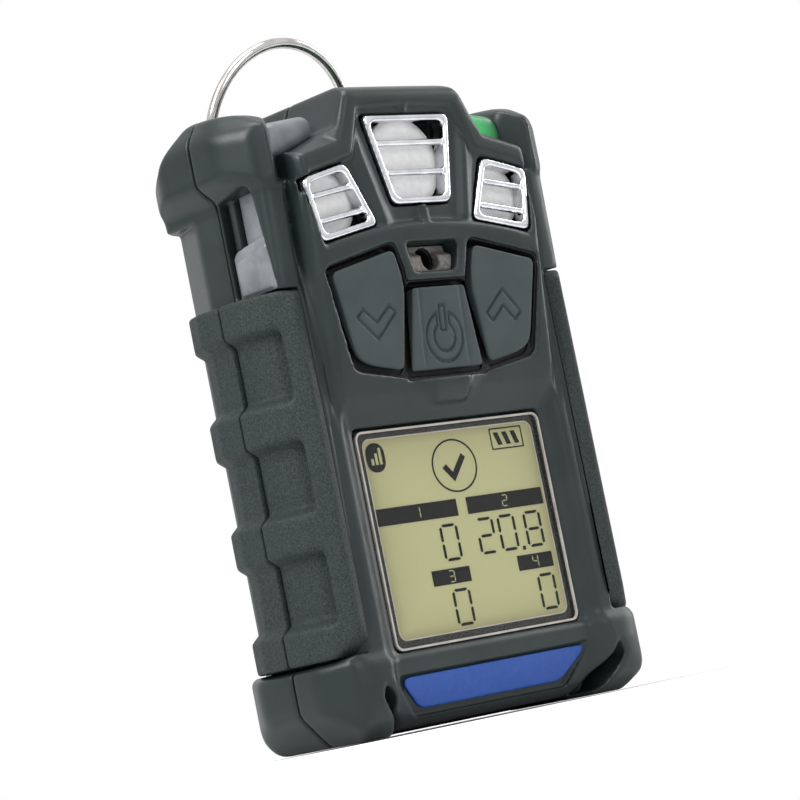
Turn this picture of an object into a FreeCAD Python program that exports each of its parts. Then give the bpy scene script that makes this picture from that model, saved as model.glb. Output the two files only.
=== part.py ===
import FreeCAD, Part
import math
import os
import re
import Sketcher
from FreeCAD import Placement, Rotation, Vector

# Portable four-gas detector, millimetres, +Z up, front facing -Y.
# While a piece is built, y = 0 is the foremost face of the head and y grows towards the back;
# every finished piece is then moved by depthShift, so that the origin ends up under the middle.

SIZES = [
    # outer case, seen from the front
    ("caseHalf", 38.0), ("caseTop", 112.0), ("backY", 34.0),
    ("headTopHalf", 13.0), ("headFootHalf", 16.5), ("headFootZ", 104.4),
    ("shoulderX", 27.0), ("shoulderZ", 100.0), ("bumperTopZ", 110.0), ("bumperLowZ", 98.0),
    ("bumperRearZ", 101.0), ("waistHalf", 34.0), ("waistTopZ", 95.0), ("footTopZ", 13.5), ("footLowZ", 6.5),
    ("footOuterX", 32.0), ("footInnerX", 23.0), ("baseZ", 0.7),
    # where the two halves meet
    ("splitY", 16.5), ("splitGap", 0.4), ("sealLip", 0.9),
    # outer corners, seen from above
    ("cornerX", 28.0), ("cornerMidX", 34.5), ("cornerMidY", 4.0), ("cornerY", 11.0), ("bumperFrontY", 0.8),
    # front profile, seen from the side
    ("browZ", 84.0), ("panelLowZ", 57.0), ("panelLowY", 3.2), ("railY", 3.9), ("railLowZ", 7.0), ("toeY",
            8.0),
    # walls and cavities
    ("headWallY", 4.5), ("frontWallY", 8.6), ("sideWall", 2.4), ("deepHalf", 26.0), ("deepY", 23.5),
    ("backWall", 2.4), ("cavityLowZ", 3.2), ("headCavityLowZ", 59.0),
    # display
    ("screenHalf", 20.8), ("screenLowZ", 15.3), ("screenTopZ", 50.5), ("screenY", 6.3),
    ("windowMargin", 1.5), ("windowThick", 1.2), ("panelThick", 1.5), ("backlightThick", 2.8),
    ("recessMargin", 2.7), ("frameWidth", 0.7), ("frameThick", 0.4),
    # keys
    ("keyTopInnerX", 9.6), ("keyTopInnerZ", 82.3), ("keyTopOuterX", 24.7), ("keyTopOuterZ", 78.9),
    ("keyLowOuterX", 21.0), ("keyLowOuterZ", 62.7), ("keyLowInnerX", 10.2), ("keyLowInnerZ", 60.8),
    ("keyWaistX", 7.7), ("keyWaistZ", 75.9), ("powerTopHalf", 6.4), ("powerLowHalf", 8.9),
    ("powerTopZ", 75.4), ("powerLowZ", 60.4), ("keyGap", 0.9), ("keyBackY", 3.6), ("keyStemBackY", 4.3),
    ("keyTopY", 0.5), ("keyLowY", 3.0), ("keyTravel", 0.7),
    ("matThick", 0.8), ("domeThick", 0.8), ("keyBoardThick", 1.0), ("matTopZ", 83.6),
    ("keyStemX", 15.5), ("keyStemZ", 68.0), ("keyStemRadius", 2.0), ("domeRadius", 2.6),
    # horn
    ("hornTopHalf", 6.2), ("hornLowHalf", 4.9), ("hornTopZ", 83.0), ("hornLowZ", 77.8), ("hornHole", 2.1),
    ("hornFrontY", 2.2), ("hornZ", 80.2), ("sounderRadius", 5.4), ("sounderThick", 4.4),
    # gas inlets
    ("inletTopHalf", 10.5), ("inletLowHalf", 7.0), ("inletTopZ", 106.1), ("inletLowZ", 89.9),
    ("sideInTopX", 16.5), ("sideInTopZ", 97.9), ("sideInLowX", 11.4), ("sideInLowZ", 86.5),
    ("sideOutLowX", 25.1), ("sideOutLowZ", 83.9), ("sideOutTopX", 27.1), ("sideOutTopZ", 95.4),
    ("inletFrontY", 1.0), ("inletRim", 1.1), ("barHeight", 0.9), ("barThick", 1.2),
    ("discThick", 0.8), ("discRadius", 8.8), ("discZ", 98.0), ("sideDiscRadius", 6.4), ("sideDiscX", 20.0),
    ("sideDiscZ", 91.1), ("sensorBackY", 11.9),
    # alarm lenses
    ("lensThick", 2.8), ("lensFrontY", 6.0), ("lensBackY", 26.0), ("sideLensLowZ", 78.5), ("sideLensTopZ",
            94.5),
    ("sideLensFrontY", 8.0), ("sideLensBackY", 16.2), ("sideLensOuter", 33.7),
    # grips
    ("gripTopZ", 77.0), ("gripLowZ", 14.4), ("gripFrontX", 30.0), ("gripSeatY", 10.0), ("gripRearSeatY",
            23.0),
    ("gripRearX", 31.0), ("gripRearY", 28.5), ("valleyX", 36.3), ("valleyZ", 26.5), ("valleyPitch", 19.0),
    ("valleyHalf", 5.0), ("valleySlope", 2.0),
    # label on the sloping chin
    ("chinHalf", 23.0), ("chinTopY", 6.2), ("chinTopZ", 9.6), ("chinLowY", 9.4), ("chinLowZ", 3.2),
    ("labelThick", 0.5), ("labelTopHalf", 22.4), ("labelLowHalf", 17.2),
    # electronics and power
    ("boardY", 12.0), ("boardThick", 1.2), ("boardHalf", 22.4), ("boardLowZ", 8.0),
    ("batteryHalf", 22.4), ("batteryLowZ", 12.0), ("batteryTopZ", 66.0), ("batteryFrontY", 18.6),
    ("batteryBackY", 31.4), ("motorRadius", 4.0), ("motorY", 25.5), ("motorZ", 75.0), ("motorLeft", -13.0),
    ("motorRight", -1.0), ("shaftRadius", 0.8), ("weightRadius", 3.6), ("weightLeft", 0.5), ("weightRight",
            4.5),
    # screws that hold the case
    ("screwX", 25.5), ("screwHighZ", 73.0), ("screwLowZ", 13.0), ("screwShank", 1.2), ("screwHead", 2.3),
    ("screwHeadThick", 1.5), ("screwTipY", 10.0), ("bossRadius", 2.8), ("slip", 0.05),
    ("slotLong", 1.4), ("slotWide", 0.3), ("slotDeep", 0.7),
    # carrying ring
    ("ringPivotY", 36.6), ("ringPivotZ", 104.0), ("ringLean", 19.0), ("ringHalf", 16.8), ("ringLength", 24.4),
    ("wireRadius", 1.0), ("earInner", 12.4), ("earOuter", 15.3), ("earFootThick", 1.2), ("ringRunning", 0.08),
    # belt clip
    ("clipHalf", 10.0), ("clipLowZ", 22.0), ("clipTopZ", 74.0), ("clipPlateLowZ", 46.0), ("clipPlateThick",
            2.0),
    ("clipGap", 5.4), ("clipThick", 1.8), ("clipPinZ", 62.0), ("clipPinRadius", 1.2), ("clipEar", 2.0),
    ("clipEarRadius", 2.8), ("clipRunning", 0.06), ("clipTabOut", 2.6), ("clipKnuckle", 3.0),
    ("clipScrewLowZ", 51.0), ("clipScrewHighZ", 70.0), ("clipScrewShank", 1.2), ("clipScrewHead", 2.25),
    ("clipSpringHalf", 3.4), ("clipSpringRadius", 1.8),
    # charging base
    ("dockHalf", 16.0), ("dockFrontY", 20.0), ("dockRearY", 30.5), ("dockLowZ", 0.2), ("contactRadius", 1.1),
    ("contactPitch", 7.0),
]

document = FreeCAD.newDocument("GasDetector")
sheet = document.addObject("Spreadsheet::Sheet", "Sizes")
for row, (alias, amount) in enumerate(SIZES, start=1):
    sheet.set("A%d" % row, alias)
    sheet.set("B%d" % row, str(amount))
    sheet.setAlias("B%d" % row, alias)
document.recompute()

ALIASES = {alias for alias, amount in SIZES}
# the clip reaches furthest back, so half of the whole depth lies behind this plane
DEPTH_SHIFT = "(backY + clipPlateThick + clipGap + clipThick + clipTabOut) / 2"
subparts = []


def in_sheet(expression):
    """Point every size named in an expression at the sheet."""
    def owner(match):
        word = match.group(0)
        return "Sizes." + word if word in ALIASES else word
    return re.sub(r"[A-Za-z_]\w*", owner, str(expression))


def bind(target, prop, expression):
    target.setExpression(prop, in_sheet(expression))


def number(expression):
    result = sheet.evalExpression(str(expression))
    return float(getattr(result, "Value", result))


def subpart(piece, label):
    """Name a finished piece and move it into the part's own frame."""
    piece.Label = label
    bind(piece, "Placement.Base.y", "-" + DEPTH_SHIFT)
    subparts.append(piece)
    return piece


# ---- sketches and features --------------------------------------------------------------------

def new_body(name):
    return document.addObject("PartDesign::Body", name + "_body")


def new_sketch(body, plane, offset):
    sketch = body.newObject("Sketcher::SketchObject", "Outline")
    support = next(f for f in body.Origin.OriginFeatures if f.Role == plane + "_Plane")
    sketch.AttachmentSupport = (support, [""])
    sketch.MapMode = "FlatFace"
    bind(sketch, "AttachmentOffset.Base.z", offset)
    return sketch


def pin_point(sketch, geometry, position, across, up):
    """Hold one sketch point at the distances that the sheet gives."""
    for kind, expression in (("DistanceX", across), ("DistanceY", up)):
        held = Sketcher.Constraint(kind, -1, 1, geometry, position, number(expression))
        index = sketch.addConstraint(held)
        bind(sketch, "Constraints[%d]" % index, expression)


def draw_polygon(sketch, corners):
    first = sketch.GeometryCount
    spots = [Vector(number(across), number(up), 0) for across, up in corners]
    for start, end in zip(spots, spots[1:] + spots[:1]):
        sketch.addGeometry(Part.LineSegment(start, end), False)
    count = len(corners)
    for index in range(count):
        previous = first + (index - 1) % count
        sketch.addConstraint(Sketcher.Constraint("Coincident", previous, 2, first + index, 1))
    for index, (across, up) in enumerate(corners):
        pin_point(sketch, first + index, 1, across, up)


def draw_circle(sketch, across, up, radius):
    centre = Vector(number(across), number(up), 0)
    index = sketch.addGeometry(Part.Circle(centre, Vector(0, 0, 1), number(radius)), False)
    pin_point(sketch, index, 3, across, up)
    held = sketch.addConstraint(Sketcher.Constraint("Radius", index, number(radius)))
    bind(sketch, "Constraints[%d]" % held, radius)


def feature(body, kind, plane, offset, length, loops):
    """Pad or pocket one sketch; a loop is a list of corners or a (across, up, radius) circle."""
    sketch = new_sketch(body, plane, offset)
    for loop in loops:
        if isinstance(loop, tuple):
            draw_circle(sketch, *loop)
        else:
            draw_polygon(sketch, loop)
    made = body.newObject("PartDesign::" + kind, kind)
    made.Profile = sketch
    bind(made, "Length", length)
    sketch.Visibility = False
    return made


def pad_y(body, front, back, *loops):
    return feature(body, "Pad", "XZ", "-(%s)" % back, "(%s) - (%s)" % (back, front), loops)


def cut_y(body, front, back, *loops):
    return feature(body, "Pocket", "XZ", "-(%s)" % front, "(%s) - (%s)" % (back, front), loops)


def pad_z(body, low, high, *loops):
    return feature(body, "Pad", "XY", low, "(%s) - (%s)" % (high, low), loops)


def cut_z(body, low, high, *loops):
    return feature(body, "Pocket", "XY", high, "(%s) - (%s)" % (high, low), loops)


def pad_x(body, left, right, *loops):
    return feature(body, "Pad", "YZ", left, "(%s) - (%s)" % (right, left), loops)


def cut_x(body, left, right, *loops):
    return feature(body, "Pocket", "YZ", right, "(%s) - (%s)" % (right, left), loops)


def flip(corners, side):
    """The same corners on the left (side -1) or on the right (side 1)."""
    return [("%d * (%s)" % (side, across), up) for across, up in corners]


def both_halves(corners):
    """Close an outline that runs down the right half by adding its mirror image."""
    return corners + flip(corners, -1)[::-1]


def rectangle(left, right, low, high):
    return [(left, low), (right, low), (right, high), (left, high)]


SIDES = ((-1, "left"), (1, "right"))


# ---- outlines that several pieces share --------------------------------------------------------

def case_outline():
    return both_halves([
        ("headTopHalf", "caseTop"), ("headFootHalf", "headFootZ"), ("shoulderX", "shoulderZ"),
        ("shoulderX + 0.8", "bumperTopZ - 3"), ("shoulderX + 3.5", "bumperTopZ"),
        ("caseHalf - 3", "bumperTopZ - 0.7"), ("caseHalf", "bumperTopZ - 5"), ("caseHalf", "bumperLowZ"),
        ("waistHalf", "waistTopZ"), ("waistHalf", "gripLowZ - 0.2"), ("caseHalf", "footTopZ"),
        ("caseHalf", "footLowZ"), ("footOuterX", "0"), ("footInnerX", "0"), ("footInnerX - 1", "baseZ"),
    ])


def cavity_outline(grow="0"):
    return both_halves([
        ("headTopHalf - 2 + %s" % grow, "caseTop - 2.6 + %s" % grow),
        ("headFootHalf - 2.3 + %s" % grow, "headFootZ - 2.2 + %s" % grow),
        ("shoulderX - 2 + %s" % grow, "shoulderZ - 2.4 + %s" % grow),
        ("waistHalf - sideWall + %s" % grow, "waistTopZ - 1 + %s" % grow),
        ("waistHalf - sideWall + %s" % grow, "cavityLowZ + 5 - %s" % grow),
        ("deepHalf + %s" % grow, "cavityLowZ - %s" % grow),
    ])


def corner_cut(side, front, back, middle_front, turn):
    """What the faceted vertical corner takes away, seen from above."""
    return flip([("cornerX", front), ("cornerX", back), ("cornerMidX", middle_front), ("caseHalf", turn),
                 ("caseHalf + 1", turn), ("caseHalf + 1", front)], side)


def screw_places():
    return [("%d * screwX" % side, height) for side, word in SIDES for height in ("screwHighZ", "screwLowZ")]


def inlet_outline(place, grow="0"):
    """Outline of one gas inlet: the middle one is a trapezoid, the outer two lean outwards."""
    if place == 0:
        return both_halves([("inletTopHalf + %s" % grow, "inletTopZ + %s" % grow),
                            ("inletLowHalf + %s" % grow, "inletLowZ - %s" % grow)])
    return flip([("sideInTopX - %s" % grow, "sideInTopZ + %s" % grow),
                 ("sideOutTopX + %s" % grow, "sideOutTopZ + %s" % grow),
                 ("sideOutLowX + %s" % grow, "sideOutLowZ - %s" % grow),
                 ("sideInLowX - %s" % grow, "sideInLowZ - %s" % grow)], place)


def side_key_outline(side, grow="0"):
    return flip([("keyTopInnerX - %s" % grow, "keyTopInnerZ + %s" % grow),
                 ("keyTopOuterX + %s" % grow, "keyTopOuterZ + %s" % grow),
                 ("keyLowOuterX + %s" % grow, "keyLowOuterZ - %s" % grow),
                 ("keyLowInnerX - %s" % grow, "keyLowInnerZ - %s" % grow),
                 ("keyWaistX - %s" % grow, "keyWaistZ")], side)


def power_key_outline(grow="0"):
    return both_halves([("powerTopHalf + %s" % grow, "powerTopZ + %s" % grow),
                        ("powerLowHalf + %s" % grow, "powerLowZ - %s" % grow)])


def keypad_opening():
    """One opening round the three keys, passing under the horn."""
    return both_halves([
        ("powerTopHalf", "powerTopZ + keyGap / 2"),
        ("keyTopInnerX - keyGap", "keyTopInnerZ + keyGap"), ("keyTopOuterX + keyGap",
                "keyTopOuterZ + keyGap"),
        ("keyLowOuterX + keyGap", "keyLowOuterZ - keyGap"), ("keyLowInnerX", "keyLowInnerZ - keyGap"),
        ("powerLowHalf", "powerLowZ - keyGap"),
    ])


def key_slope():
    """Everything in front of the sloping key faces, seen from the side."""
    return [("-2", "keyTopInnerZ + 2"), ("keyTopY", "keyTopInnerZ + 2"), ("keyTopY", "keyTopInnerZ"),
            ("keyLowY", "powerLowZ"), ("keyLowY", "powerLowZ - 2"), ("-2", "powerLowZ - 2")]


# ---- the two halves of the case ----------------------------------------------------------------

def make_front_case():
    body = new_body("front_case")
    rear_edge = "splitY - splitGap / 2"
    pad_y(body, "0", rear_edge, case_outline())
    for side, word in SIDES:
        cut_z(body, "-1", "caseTop + 1",
              corner_cut(side, "-2", "bumperFrontY", "cornerMidY", "cornerY"))
        cut_z(body, "gripLowZ - 0.2", "gripTopZ + 0.2", flip([
            ("gripFrontX", "-2"), ("gripFrontX", "railY - 0.5"), ("waistHalf", "gripSeatY"),
            ("waistHalf + 2", "gripSeatY"), ("waistHalf + 2", "-2")], side))
    cut_x(body, "-caseHalf - 2", "caseHalf + 2", [
        ("-2", "caseTop + 1"), ("5", "caseTop + 1"), ("5", "caseTop"), ("bumperFrontY", "caseTop - 1.8"),
        ("0", "browZ"), ("panelLowY", "panelLowZ"), ("railY", "panelLowZ - 3"), ("railY", "railLowZ"),
        ("toeY", "0"), ("toeY", "-1"), ("-2", "-1")])
    cut_x(body, "-chinHalf", "chinHalf", [
        ("2", "chinTopZ + 2.4"), ("chinTopY - 1", "chinTopZ + 2.4"), ("chinTopY", "chinTopZ"),
        ("chinLowY", "chinLowZ"), ("chinLowY + 3", "0"), ("chinLowY + 3", "-1"), ("2", "-1")])
    # hollow: shallow behind the display, deeper behind the head
    cut_y(body, "frontWallY", rear_edge, cavity_outline())
    cut_y(body, "headWallY", "frontWallY", both_halves([
        ("headTopHalf - 2", "caseTop - 2.6"), ("headFootHalf - 2.3", "headFootZ - 2.2"),
        ("deepHalf + 1.2", "shoulderZ - 2.6"), ("deepHalf + 1.2", "headCavityLowZ")]))
    # display recess, window seat and opening
    cut_y(body, "-1", "screenY", rectangle("-screenHalf - recessMargin", "screenHalf + recessMargin",
                                           "screenLowZ - recessMargin", "screenTopZ + recessMargin"))
    cut_y(body, "screenY", "screenY + windowThick", rectangle(
        "-screenHalf - windowMargin", "screenHalf + windowMargin",
        "screenLowZ - windowMargin", "screenTopZ + windowMargin"))
    cut_y(body, "screenY", "frontWallY + 0.1", rectangle("-screenHalf", "screenHalf", "screenLowZ",
                                                         "screenTopZ"))
    # keys, horn and gas inlets
    cut_y(body, "-1", "headWallY + 0.1", keypad_opening())
    cut_y(body, "-1", "headWallY + 0.1", both_halves([("hornTopHalf", "hornTopZ"), ("hornLowHalf",
            "hornLowZ")]))
    for place in (-1, 0, 1):
        cut_y(body, "-1", "headWallY + 0.1", inlet_outline(place))
    # side lens openings
    for side, word in SIDES:
        cut_x(body, "%s" % ("sideLensOuter - 3" if side > 0 else "-sideLensOuter - 2"),
              "%s" % ("sideLensOuter + 2" if side > 0 else "-sideLensOuter + 3"),
              rectangle("sideLensFrontY", "splitY", "sideLensLowZ", "sideLensTopZ"))
    # screw bosses
    for across, height in screw_places():
        pad_y(body, "frontWallY - 0.6", rear_edge, (across, height, "bossRadius"))
    for across, height in screw_places():
        cut_y(body, "screwTipY - 0.3", rear_edge, (across, height, "screwShank + slip"))
    return subpart(body, "front_case")


def make_rear_case():
    body = new_body("rear_case")
    front_edge = "splitY + splitGap / 2"
    pad_y(body, front_edge, "backY", case_outline())
    for side, word in SIDES:
        cut_z(body, "-1", "caseTop + 1", corner_cut(
            side, "backY + 2", "backY - bumperFrontY", "backY - cornerMidY", "backY - cornerY"))
        cut_z(body, "gripLowZ - 0.2", "waistTopZ - 2", flip([
            ("cornerX", "backY + 2"), ("cornerX", "backY"), ("waistHalf", "gripRearSeatY"),
            ("waistHalf + 2", "gripRearSeatY"), ("waistHalf + 2", "backY + 2")], side))
    cut_x(body, "-caseHalf - 2", "caseHalf + 2", [
        ("backY + 2", "caseTop + 1"), ("backY - 3", "caseTop + 1"), ("backY - 3", "caseTop"),
        ("backY", "caseTop - 4"), ("backY", "footLowZ"), ("backY - 4", "0"), ("backY - 4", "-1"),
        ("backY + 2", "-1")])
    # the bumpers slope off behind the joint
    for side, word in SIDES:
        left, right = ("-caseHalf - 1", "-shoulderX - 0.5") if side < 0 else ("shoulderX + 0.5",
                "caseHalf + 1")
        cut_x(body, left, right, [
            ("splitY + 0.6", "bumperTopZ + 1"), ("backY - 8", "bumperRearZ"), ("backY + 2",
                    "bumperRearZ - 4"),
            ("backY + 2", "bumperTopZ + 1")])
    cut_y(body, front_edge, "deepY", cavity_outline())
    cut_y(body, "deepY", "backY - backWall", both_halves([
        ("headTopHalf - 2", "caseTop - 6"), ("deepHalf", "shoulderZ - 4"), ("deepHalf", "cavityLowZ + 3"),
        ("deepHalf - 3", "cavityLowZ")]))
    # posts for the screws, with seats for their heads
    for across, height in screw_places():
        pad_y(body, front_edge, "backY - 2", (across, height, "bossRadius"))
    for across, height in screw_places():
        cut_y(body, front_edge, "backY + 1", (across, height, "screwShank + slip"))
        cut_y(body, "backY - screwHeadThick - 1", "backY + 1", (across, height, "screwHead + slip"))
    # seat of the charging block
    cut_z(body, "-1", "cavityLowZ + 1", rectangle("-dockHalf", "dockHalf", "dockFrontY", "dockRearY"))
    return subpart(body, "rear_case")


def make_case_seal():
    body = new_body("case_seal")
    pad_y(body, "splitY - splitGap / 2", "splitY + splitGap / 2",
          cavity_outline("sealLip"), cavity_outline("0.1"))
    return subpart(body, "case_seal")


def make_case_screws():
    body = new_body("case_screws")
    shoulder = "backY - screwHeadThick - 1"
    for across, height in screw_places():
        pad_y(body, "screwTipY", shoulder, (across, height, "screwShank"))
        pad_y(body, shoulder, "backY - 1", (across, height, "screwHead"))
        cut_y(body, "backY - 1 - slotDeep", "backY", rectangle(
            across + " - slotLong", across + " + slotLong", height + " - slotWide", height + " + slotWide"))
    return subpart(body, "case_screws")


# ---- rubber grips on the flanks ----------------------------------------------------------------

def make_grip(side, word, half):
    body = new_body("grip_%s_%s" % (word, half))
    if half == "front":
        outline = [("gripFrontX", "railY - 0.5"), ("waistHalf", "gripSeatY"), ("waistHalf",
                "splitY - splitGap / 2"),
                   ("caseHalf", "splitY - splitGap / 2"), ("caseHalf", "splitY - 4.2"), ("caseHalf - 1.6",
                           "7.2"),
                   ("gripFrontX + 2.3", "railY - 0.7")]
    else:
        outline = [("waistHalf", "splitY + splitGap / 2"), ("waistHalf", "gripRearSeatY"), ("gripRearX",
                "gripRearY"),
                   ("gripRearX + 1.4", "gripRearY + 0.9"), ("caseHalf - 1.8", "gripRearY - 2.8"),
                   ("caseHalf", "gripRearSeatY - 1.5"), ("caseHalf", "splitY + splitGap / 2")]
    pad_z(body, "gripLowZ", "gripTopZ", flip(outline, side))
    for step in range(3):
        middle = "valleyZ + %d * valleyPitch" % step
        cut_y(body, "0", "backY", flip([
            ("valleyX", middle + " - valleyHalf"), ("caseHalf + 0.2", middle + " - valleyHalf - valleySlope"),
            ("caseHalf + 0.2", middle + " + valleyHalf + valleySlope"), ("valleyX",
                    middle + " + valleyHalf")], side))
    return subpart(body, "grip_%s_%s" % (word, half))


# ---- display -----------------------------------------------------------------------------------

def screen_rectangle(grow):
    return rectangle("-screenHalf - %s" % grow, "screenHalf + %s" % grow,
                     "screenLowZ - %s" % grow, "screenTopZ + %s" % grow)


def make_display():
    window = new_body("display_window")
    pad_y(window, "screenY", "screenY + windowThick", screen_rectangle("windowMargin"))
    subpart(window, "display_window")
    frame = new_body("display_frame")
    pad_y(frame, "screenY - frameThick", "screenY",
          screen_rectangle("(windowMargin + frameWidth)"), screen_rectangle("windowMargin"))
    subpart(frame, "display_frame")
    panel = new_body("display_panel")
    pad_y(panel, "screenY + windowThick", "screenY + windowThick + panelThick", screen_rectangle("-slip"))
    subpart(panel, "display_panel")
    backlight = new_body("display_backlight")
    pad_y(backlight, "screenY + windowThick + panelThick",
          "screenY + windowThick + panelThick + backlightThick", screen_rectangle("-0.5"))
    subpart(backlight, "display_backlight")


# ---- keys --------------------------------------------------------------------------------------

def make_keys():
    for word, outline, stem_x in (("down", side_key_outline(-1), "-keyStemX"), ("up", side_key_outline(1),
            "keyStemX"),
                                  ("power", power_key_outline(), "0")):
        key = new_body("key_" + word)
        pad_y(key, "0", "keyBackY", outline)
        cut_x(key, "-caseHalf", "caseHalf", key_slope())
        pad_y(key, "keyBackY - 0.2", "keyStemBackY - keyTravel + 0.1", (stem_x, "keyStemZ", "keyStemRadius"))
        subpart(key, "key_" + word)


def make_keypad():
    mat_back = "headWallY + matThick"
    mat = new_body("keypad_mat")
    pad_y(mat, "headWallY", mat_back, both_halves([
        ("hornTopHalf + 1", "hornZ - sounderRadius - 0.3"), ("hornTopHalf + 1", "matTopZ"), ("deepHalf",
                "matTopZ - 2"),
        ("deepHalf", "headCavityLowZ + 0.2")]))
    subpart(mat, "keypad_mat")
    domes = new_body("key_switches")
    pad_y(domes, mat_back, mat_back + " + domeThick",
          *[(across, "keyStemZ", "domeRadius") for across in ("-keyStemX", "0", "keyStemX")])
    subpart(domes, "key_switches")
    board = new_body("keypad_board")
    pad_y(board, mat_back + " + domeThick", mat_back + " + domeThick + keyBoardThick",
          rectangle("-deepHalf + 1", "deepHalf - 1", "headCavityLowZ + 1", "hornZ - sounderRadius - 0.6"))
    subpart(board, "keypad_board")


# ---- horn and gas inlets -----------------------------------------------------------------------

def make_horn():
    cover = new_body("horn_cover")
    pad_y(cover, "hornFrontY", "headWallY", both_halves([
        ("hornTopHalf - slip", "hornTopZ - slip"), ("hornLowHalf - slip", "hornLowZ + slip")]))
    cut_y(cover, "hornFrontY", "headWallY", ("0", "hornZ", "hornHole"))
    subpart(cover, "horn_cover")
    sounder = new_body("horn_sounder")
    pad_y(sounder, "headWallY + 0.1", "headWallY + sounderThick", ("0", "hornZ", "sounderRadius"))
    cut_y(sounder, "headWallY + 0.1", "headWallY + 1.6", ("0", "hornZ", "hornHole"))
    subpart(sounder, "horn_sounder")


def make_inlets():
    bars = {0: ("inletLowZ", "inletTopZ", "-inletTopHalf", "inletTopHalf"),
            1: ("sideInLowZ - 1.6", "sideInTopZ - 1.0", "sideInLowX + 1.0", "sideOutTopX")}
    for place, word in ((-1, "left"), (0, "centre"), (1, "right")):
        bezel = new_body("inlet_" + word)
        pad_y(bezel, "inletFrontY", "headWallY - 0.1", inlet_outline(place, "(-3 * slip)"))
        cut_y(bezel, "0", "headWallY", inlet_outline(place, "(-inletRim)"))
        low, high, near, far = bars[abs(place)]
        side = place or 1
        for share in (1, 2):
            middle = "(%s) + ((%s) - (%s)) * %d / 3" % (low, high, low, share)
            inset = "(inletRim / 2 + %s)" % ("(inletTopHalf - inletLowHalf) * %d / 3" % (3 - share) if place == 0 else
                                            "(sideInTopX - sideInLowX) * %d / 3" % (share - 1))
            right_inset = inset
            if place:
                right_inset = "(inletRim / 2 + (sideOutTopX - sideOutLowX) * %d / 3)" % (3 - share)
            pad_y(bezel, "inletFrontY + 0.3", "inletFrontY + 0.3 + barThick", flip(
                rectangle("%s + %s" % (near, inset), "%s - %s" % (far, right_inset),
                          middle + " - barHeight / 2", middle + " + barHeight / 2"), side))
        subpart(bezel, "inlet_" + word)


def make_sensors():
    names = {-1: "sensor_toxic", 0: "sensor_oxygen", 1: "sensor_combustible"}
    for place, word in ((-1, "left"), (0, "centre"), (1, "right")):
        across = "%d * sideDiscX" % place
        height = "sideDiscZ" if place else "discZ"
        radius = "sideDiscRadius" if place else "discRadius"
        disc = new_body("filter_" + word)
        pad_y(disc, "headWallY", "headWallY + discThick", (across, height, radius))
        subpart(disc, "filter_" + word)
        sensor = new_body(names[place])
        pad_y(sensor, "headWallY + discThick", "sensorBackY", (across, height, radius + " - 0.4"))
        subpart(sensor, names[place])


# ---- lenses and label --------------------------------------------------------------------------

def make_lenses():
    for side, word in SIDES:
        top = new_body("shoulder_lens_" + word)
        pad_y(top, "lensFrontY", "lensBackY", flip([
            ("headFootHalf + 0.3", "headFootZ - 0.3 * (headFootZ - shoulderZ) / (shoulderX - headFootHalf)"),
            ("headFootHalf + 0.3", "headFootZ + lensThick - 0.6"), ("headFootHalf + 3",
                    "headFootZ + lensThick - 0.6"),
            ("shoulderX", "shoulderZ + lensThick"), ("shoulderX", "shoulderZ")], side))
        subpart(top, "shoulder_lens_" + word)
        flank = new_body("side_lens_" + word)
        pad_z(flank, "sideLensLowZ + slip", "sideLensTopZ - slip", flip([
            ("waistHalf - sideWall", "sideLensFrontY + slip"), ("sideLensOuter", "sideLensFrontY + slip"),
            ("sideLensOuter", "sideLensBackY"), ("waistHalf - sideWall", "sideLensBackY")], side))
        cut_z(flank, "sideLensLowZ + 8", "sideLensTopZ", flip([
            ("sideLensOuter - 0.8", "0"), ("sideLensOuter - 0.8", "backY"), ("caseHalf", "backY"),
            ("caseHalf", "0")], side))
        subpart(flank, "side_lens_" + word)


def make_label():
    body = new_body("name_plate")
    run = "(chinLowY - chinTopY)"
    drop = "(chinTopZ - chinLowZ)"
    start, stop = "0.07", "0.93"
    pad_x(body, "-labelTopHalf", "labelTopHalf", [
        ("chinTopY + %s * %s" % (run, start), "chinTopZ - %s * %s" % (drop, start)),
        ("chinTopY + %s * %s" % (run, stop), "chinTopZ - %s * %s" % (drop, stop)),
        ("chinTopY + %s * %s - labelThick * 0.9" % (run, stop),
         "chinTopZ - %s * %s - labelThick * 0.45" % (drop, stop)),
        ("chinTopY + %s * %s - labelThick * 0.9" % (run, start),
         "chinTopZ - %s * %s - labelThick * 0.45" % (drop, start))])
    for side, word in SIDES:
        cut_y(body, "0", "backY", flip([
            ("labelTopHalf + 1", "chinTopZ - 1.2"), ("labelTopHalf", "chinTopZ - 1.2"), ("labelLowHalf",
                    "chinLowZ"),
            ("labelLowHalf", "0"), ("labelTopHalf + 1", "0")], side))
    return subpart(body, "name_plate")


# ---- electronics and battery -------------------------------------------------------------------

# left, right, low, high and thickness of what stands on the board
CHIPS = ((-18, -4, 24, 38, 1.4), (4, 14, 46, 54, 1.0), (-12, 6, 64, 70, 2.0))
LAMPS = ((17, 20, 94, 97, 1.6), (18.5, 21.5, 84, 87, 1.6))


def make_electronics():
    board_back = "boardY + boardThick"
    board = new_body("circuit_board")
    pad_y(board, "boardY", board_back, both_halves([
        ("headTopHalf - 3", "caseTop - 5"), ("headTopHalf - 1", "headFootZ - 3.4"), ("boardHalf",
                "waistTopZ + 1"),
        ("boardHalf", "boardLowZ")]))
    subpart(board, "circuit_board")
    chips = new_body("board_chips")
    for left, right, low, high, thick in CHIPS:
        pad_y(chips, board_back, board_back + " + %s" % thick, rectangle(left, right, low, high))
    subpart(chips, "board_chips")
    lamps = new_body("alarm_lamps")
    for side, word in SIDES:
        for left, right, low, high, thick in LAMPS:
            pad_y(lamps, board_back, board_back + " + %s" % thick, flip(rectangle(left, right, low, high),
                    side))
    subpart(lamps, "alarm_lamps")


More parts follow.
